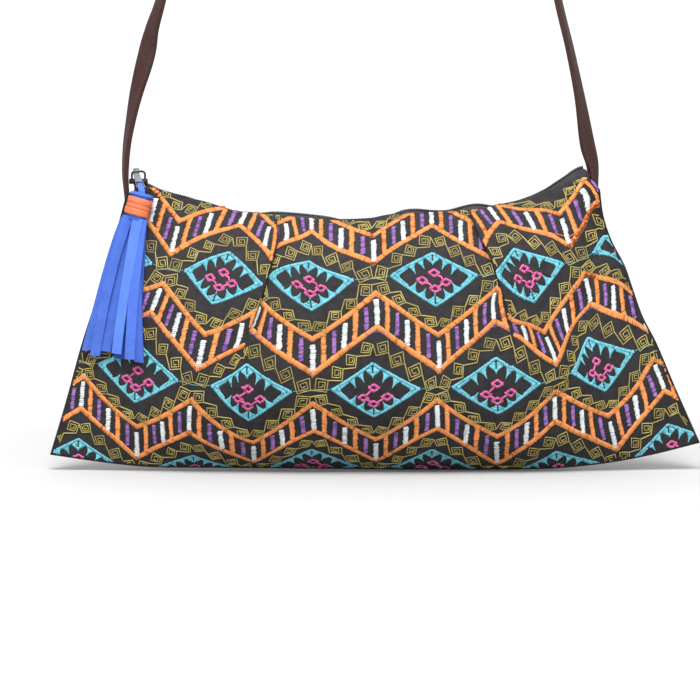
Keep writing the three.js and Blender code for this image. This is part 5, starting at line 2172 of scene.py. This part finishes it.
@dataclass
class Tassel:
    """Zip pull: metal tab, suede loop and head, thread binding and a fan of strips.

    The courses of the head are shares down it, or of the brim's height, with shares of the brim's size.
    Those of the loop are shares down the head or lengths below the slot, with shares of the loop's half and
    lengths aside.
    """

    form: PanelForm
    tab_edge: float = 0.16
    hinge: Triple = (-119.5, 0.0, 10.14)
    tilt: float = math.radians(43)
    slot_at: float = 8.4
    slot_aside: float = 1.14
    loop_size: Pair = (2.2, 0.9)
    loop_soft: float = 0.22
    loop_spread: float = 1.64
    loop_half: float = 1.35
    loop_steps: int = 60
    loop_in_head: Course = ((0.35, 0.6), (0.0, 0.8))
    loop_to_slot: tuple[Triple, ...] = ((4.0, 0.95, 0.9), (1.5, 1.0, 0.3))
    top: Triple = (-116.8, -11.6, -0.4)
    foot: Triple = (-119.8, -12.3, -12.1)
    head_half: Pair = (5.0, 3.6)
    head_sides: int = 48
    crown_course: Course = ((0.02, 0.5), (0.0, 0.72), (0.03, 0.93))
    brim_course: Course = ((0.45, 1.0), (0.9, 0.98), (1.1, 0.83))
    neck_course: Course = ((0.5, 0.82), (0.9, 0.82), (1.15, 0.8), (1.2, 0.6))
    brim_half: Pair = (6.0, 4.4)
    brim_height: float = 1.7
    ripple: float = 0.12
    ripple_waves: int = 5
    ripple_start: float = 0.6
    binding: Pair = (0.23, 0.95)
    binding_turns: int = 13
    binding_out: float = 0.75
    binding_radius: float = 0.45
    binding_sides: int = 8
    turn_steps: int = 40
    swell: float = 0.06
    swell_knots: int = 60
    strips_from: float = 1.03
    strip_size: Pair = (5.3, 1.2)
    strip_soft: float = 0.25
    strip_steps: int = 34
    strip_root: float = 0.55
    strip_lift: float = 0.7
    strip_step: float = 1.5
    strip_bow: float = 0.78
    strip_sway: Pair = (0.35, 0.2)
    strip_drop: float = 0.35
    strip_settling: Pair = (0.1, 0.6)
    strip_clear: float = 0.6
    strip_curl: float = 0.16
    strip_curling: Pair = (0.15, 0.8)
    strip_level: float = 0.3
    strip_cut: float = 0.12
    strip_lean: float = 0.35
    lean_reach: float = 2.0
    loop_tone: float = 0.5
    head_tone: float = 0.4
    strip_tone: float = 0.02
    # Tone gained per layer outwards: the strips further back are darker as painted shade under the front
    # ones.
    layer_shade_lift: float = 0.24
    tone_spread: float = 0.14
    suede_crease: float = math.radians(55)
    seed: int = 11

    def __post_init__(self) -> None:
        """Works out the head's own axes."""
        self.top_at = np.array(self.top)
        self.axis = np.array(self.foot) - self.top_at
        ahead = unit(self.axis)
        self.deep = unit(AXIS_Y - ahead * ahead[1])
        self.wide = np.cross(ahead, self.deep)

    def oval(self, share: Array | float, wide: Array | float, deep: Array | float, angles: Array) -> Array:
        """Points round the head's axis.

        Args:
            share: Shares of the way down the head.
            wide: Half widths.
            deep: Half depths.
            angles: Angles round the axis.

        Returns:
            One point for each angle.
        """
        middle = self.top_at + self.axis * np.reshape(share, (-1, 1))
        across = self.wide * (np.cos(angles) * wide)[:, None]
        return middle + across + self.deep * (np.sin(angles) * deep)[:, None]

    def head(self) -> Skin:
        """Rolled head with a soft brim over the binding.

        Returns:
            Its skin.
        """
        brim = self.brim_height / np.linalg.norm(self.axis)
        angles = np.linspace(0, 2 * math.pi, self.head_sides, endpoint=False)
        ripple = self.ripple * np.sin(self.ripple_waves * angles + self.ripple_start)[:, None]
        wide, deep = self.brim_half
        rings = []
        brim_course = tuple((brim * share, scale) for share, scale in self.brim_course)
        for share, scale in self.crown_course + brim_course + self.neck_course:
            ring = self.oval(share, scale * wide, scale * deep, angles)
            rings.append(ring + ripple * unit(ring - ring.mean(0)))
        return loft(np.stack(rings))

    def loop(self) -> Skin:
        """Flat loop through the tab's slot, its legs run into the head.

        Returns:
            Its skin.
        """
        down = np.array([0, -math.sin(self.tilt), -math.cos(self.tilt)])
        out = np.array([0, -math.cos(self.tilt), math.sin(self.tilt)])
        slot = np.array(self.hinge) + down * self.slot_at + AXIS_X * self.slot_aside
        legs = []
        for half in (self.loop_half, -self.loop_half):
            leg = []
            for share, spread in self.loop_in_head:
                leg.append(self.top_at + self.axis * share + out * spread * half)
            for below, spread, aside in self.loop_to_slot:
                leg.append(slot + down * below + out * spread * half + AXIS_X * aside)
            legs.append(leg)
        knots = np.array(legs[0] + [slot] + legs[1][::-1])
        path = through_points(knots, np.linspace(0, 1, self.loop_steps))
        ahead = unit(np.gradient(path, axis=0))
        across = unit(AXIS_X - ahead * ahead[:, :1])
        spread = 1 + (self.loop_spread - 1) * np.abs(np.linspace(-1, 1, len(path)))[:, None]
        profile = rounded_bar(*self.loop_size, self.loop_soft)
        return loft(sweep(path, across * spread, np.cross(ahead, across), profile))

    def lean(self, x: Array, z: Array) -> Array:
        """Slope of a strip across the cloth, held flat where the cloth turns away at its seam."""
        rise = self.form.depth_behind(x + self.lean_reach, z) - self.form.depth_behind(x - self.lean_reach, z)
        return np.clip(rise / (2 * self.lean_reach), -self.strip_lean, self.strip_lean)

    def rest(self, x: Array, z: Array) -> Array:
        """Depth of a strip's middle that keeps both its edges clear of the cloth.

        Args:
            x: Places across.
            z: Heights.

        Returns:
            Depths of the middle of its back.
        """
        half = self.strip_size[0] / 2
        lean = self.lean(x, z) * half
        depths = [self.form.depth_behind(x + side * half, z) - side * lean for side in (-1, 0, 1)]
        return np.minimum.reduce(depths)

    def strip(self, start: float, end_x: float, end_z: float, layer: float, rng: np.random.Generator) -> Skin:
        """One suede strip from the head's foot to its cut end on the cloth.

        Args:
            start: Place beside the head's axis.
            end_x: Place across of the cut end.
            end_z: Height of the cut end.
            layer: Layer from the cloth outwards.
            rng: Random draws.

        Returns:
            Its skin.
        """
        width, thick = self.strip_size
        root = self.top_at + self.axis * self.strips_from
        lift = self.strip_lift + thick / 2 + self.strip_step * layer
        start_y = root[1] + (1 - layer) * self.strip_root * self.head_half[1]
        slant = self.axis[0] / self.axis[2]
        start_x, start_z = root[0] + start, root[2] - slant * start
        end_y = float(self.rest(np.array([end_x]), np.array([end_z]))[0]) - lift
        t = np.linspace(0, 1, self.strip_steps)
        sway = np.zeros_like(t)
        for waves, reach in enumerate(self.strip_sway, 1):
            sway += rng.normal(0, reach) * np.sin(waves * math.pi * t)
        x = start_x + (end_x - start_x) * t ** self.strip_bow + sway
        z = start_z + (end_z - start_z) * t
        lying = self.rest(x, z) - lift
        settled = smoothstep(t, *self.strip_settling)
        clear = self.form.depth_behind(x + width / 2 * (1 - settled), z) - thick / 2 - self.strip_clear
        dropping = start_y + (lying - start_y) * smoothstep(t, 0, self.strip_drop)
        y = np.minimum.reduce([start_y + (end_y - start_y) * t, dropping, clear])
        path = np.stack([x, y, z], -1)
        curl = rng.normal(0, self.strip_curl) * smoothstep(t, *self.strip_curling)
        level = -slant * (1 - smoothstep(t, 0, self.strip_level))
        across = unit(np.stack([np.ones_like(t), self.lean(x, z) * settled + curl, level], -1))
        through = np.stack([-across[:, 1], across[:, 0], np.zeros_like(t)], -1)
        sections = sweep(path, across, through, rounded_bar(width, thick, self.strip_soft, 2))
        cut = rng.normal(0, self.strip_cut)
        sections[-1, :, 2] += cut * (sections[-1, :, 0] - path[-1, 0])
        return loft(sections)

    def suede(self) -> None:
        """Loop, head and strips as one piece."""
        rng = np.random.default_rng(self.seed)
        shells = [self.loop(), self.head()] + [self.strip(*row, rng) for row in TASSEL_STRIPS]
        tones = [self.loop_tone, self.head_tone]
        for *_, layer in TASSEL_STRIPS:
            # Back layers darker as painted shade, plus a random spread.
            base = self.strip_tone + self.layer_shade_lift * layer
            tones.append(base + rng.uniform(-self.tone_spread, self.tone_spread))
        points, faces, uv, tone = [], [], [], []
        for (shell_points, shell_faces, shell_uv), shell_tone in zip(shells, tones):
            first = sum(len(p) for p in points)
            points.append(shell_points)
            uv.append(shell_uv)
            tone.append(np.full(len(shell_points), shell_tone))
            faces += [tuple(first + i for i in face) for face in shell_faces]
        mesh = build_mesh("tassel_suede", np.vstack(points), faces, np.vstack(uv))
        store(mesh, TONE, np.concatenate(tone))
        mesh.set_sharp_from_angle(angle=self.suede_crease)
        dress(add_object("tassel_suede", mesh), SUEDE, Body.PULL, Slot.SUEDE, "tassel")

    def bind(self) -> None:
        """Thread wound round the head in close turns."""
        steps = self.turn_steps * self.binding_turns
        turn = np.linspace(0, 2 * math.pi * self.binding_turns, steps)
        rng = np.random.default_rng(self.seed)
        knots = np.linspace(0, turn[-1], self.swell_knots)
        swell = np.interp(turn, knots, rng.normal(0, self.swell, self.swell_knots))
        wide, deep = (half + self.binding_out + swell for half in self.head_half)
        line = self.oval(np.linspace(*self.binding, steps), wide, deep, turn)
        turns = [line[a:a + self.turn_steps + 2] for a in range(0, steps, self.turn_steps)]
        piece = COUCHING.lay("tassel_binding_thread", turns, BINDING, self.binding_radius, self.binding_sides)
        dress(piece, BINDING, Body.PULL, Slot.BINDING, "tassel_binding")

    def build(self) -> None:
        """Builds the tab, the suede and the binding."""
        tab = softened_copy("tab", "pull_tab", self.tab_edge)
        dress(tab, NICKEL, Body.PULL, Slot.PULL_METAL, "pull_tab")
        self.suede()
        self.bind()


@dataclass
class Strap:
    """One narrow leather band from corner to corner, stitched along both edges."""

    thick: float = 2.4
    soft: float = 0.4
    steps: int = 420
    nudge: float = 1e-4
    stitch_pitch: float = 3.6
    stitch_size: Triple = (2.5, 0.6, 0.12)
    stitch_in: float = 1.3
    stitch_least: float = 0.8
    stitch_sunk: float = 0.05
    stitch_tones: Pair = (0.1, 1.0)
    end_margin: float = 6.0
    measure_steps: int = 4000
    seed: int = 5

    def frame_at(self, share: Array) -> tuple[Array, Array, Array, Array]:
        """Frames along the band.

        Args:
            share: Places from one end to the other.

        Returns:
            Middle line, width direction, face direction and half width.
        """
        knots = np.stack([STRAP_ROUTE.columns[key] for key in "xyz"], -1)
        points = through_points(knots, share)
        after, before = (through_points(knots, np.clip(share + k * self.nudge, 0, 1)) for k in (1, -1))
        ahead = unit(after - before)
        knot = share * (len(knots) - 1)
        turn = np.radians(STRAP_ROUTE.read("turn", knot))[:, None]
        half = STRAP_ROUTE.read("width", knot) / 2
        back = unit(AXIS_Y - ahead * ahead[:, 1:2])
        wide = np.cross(ahead, back) * np.cos(turn) + back * np.sin(turn)
        return points, wide, np.cross(ahead, wide), half

    def band(self) -> None:
        """The leather band."""
        points, wide, deep, half = self.frame_at(np.linspace(0, 1, self.steps))
        profile = rounded_bar(2.0, self.thick, self.soft)
        edge = np.sign(profile[:, 0])
        offsets = edge[None, :] * half[:, None] + profile[None, :, 0] - edge[None, :]
        sections = points[:, None] + wide[:, None] * offsets[..., None] + deep[:, None] * profile[None, :, 1:]
        mesh = build_mesh("strap_band", *loft(sections))
        dress(add_object("strap_band", mesh), LEATHER, Body.BAG, Slot.LEATHER, "strap")

    def stitching(self) -> None:
        """Running stitches near both edges of both faces."""
        fine = np.linspace(0, 1, self.measure_steps)
        line = self.frame_at(fine)[0]
        run = np.cumsum(np.r_[0, np.linalg.norm(np.diff(line, axis=0), axis=1)])
        places = np.arange(self.end_margin, run[-1] - self.end_margin, self.stitch_pitch)
        points, wide, deep, half = self.frame_at(np.interp(places, run, fine))
        aside = wide * np.maximum(half - self.stitch_in, self.stitch_least)[:, None]
        above = deep * (self.thick / 2 - self.stitch_sunk)
        sides = [(edge, face) for edge in (-1, 1) for face in (-1, 1)]
        middle = np.vstack([points + aside * edge + above * face for edge, face in sides])
        out = np.vstack([deep * face for _, face in sides])
        lie = np.vstack([np.cross(wide, deep)] * len(sides))
        size = np.broadcast_to(self.stitch_size, middle.shape)
        tone = np.random.default_rng(self.seed).uniform(*self.stitch_tones, len(middle))
        piece = SEWING.sew("strap_stitches", Seats3D(middle, lie, out, size, tone), LEATHER_STITCH)
        dress(piece, LEATHER_STITCH, Body.BAG, Slot.LEATHER)

    def build(self) -> None:
        """Builds the band and its stitches."""
        self.band()
        self.stitching()


@dataclass
class Studio:
    """Camera at the photo's angle, a pale sweep and soft light."""

    sensor: float = 36.0
    clip_end: float = 50.0
    floor_drop: float = 142.0
    floor_reach: float = 6000.0
    bend: float = 900.0
    bend_steps: int = 12
    lamp_at: Triple = (-60.0, -640.0, 950.0)
    lamp_aim: Triple = (0.0, 0.0, -60.0)
    lamp_size: float = 0.6
    lamp_power: float = 24.0
    surround: float = 1.0

    def camera(self) -> None:
        """Places the camera in front of the bag, a little above its middle."""
        data = bpy.data.cameras.new("camera")
        data.sensor_width = self.sensor
        data.lens = self.sensor * VIEW.distance / VIEW.width
        data.clip_end = self.clip_end
        camera = bpy.data.objects.new("camera", data)
        aim_at(camera, VIEW.origin(), VIEW.aim)
        bpy.context.scene.camera = camera

    def sweep(self) -> None:
        """Pale floor that curves up into a backdrop far behind, glowing as painted light."""
        reach, bend, floor = self.floor_reach, self.bend, -self.floor_drop
        run = [(-reach, floor)]
        for turn in np.linspace(0, math.pi / 2, self.bend_steps):
            run.append((reach + bend * math.sin(turn), floor + bend * (1 - math.cos(turn))))
        run.append((reach + bend, floor + reach))
        points = [(x, y, z) for y, z in run for x in (-reach, reach)]
        mesh = bpy.data.meshes.new("sweep")
        mesh.from_pydata(to_row_frame(points).tolist(), [], grid_faces(len(run), 2))
        mesh.shade_smooth()
        mesh.materials.append(SWEEP.material())
        sweep_piece = add_object("sweep", mesh)

    def lights(self) -> None:
        """One broad top light and an even surround."""
        data = bpy.data.lights.new("top", "AREA")
        data.size = self.lamp_size
        data.energy = self.lamp_power
        aim_at(bpy.data.objects.new("top", data), self.lamp_at, self.lamp_aim)
        world = bpy.data.worlds.new("surround")
        world.use_nodes = True
        background = world.node_tree.nodes["Background"].inputs
        background["Color"].default_value = WHITE_LIGHT
        background["Strength"].default_value = self.surround
        bpy.context.scene.world = world
        bpy.context.scene.view_settings.view_transform = "Standard"


def main() -> None:
    """Builds the bag's pieces in order."""
    logging.basicConfig(level=logging.INFO, format="%(message)s")
    studio = Studio()
    studio.camera()
    for name, side, seed in (("front", -1, 3), ("back", 1, 8)):
        form = PanelForm(side)
        cloth = FlatCloth(form)
        panel = ClothPanel(f"{name}_cloth", f"{name}_panel", form).build(cloth)
        threads = Embroidery(cloth, name, seed).build()
    front = PanelForm(-1)
    Zip(front).build()
    Tassel(front).build()
    Strap().build()
    for helper in (SEWING.stitch, bpy.data.objects["rib"]):
        bpy.data.objects.remove(helper)
    studio.sweep()
    studio.lights()


if __name__ == "__main__":
    main()
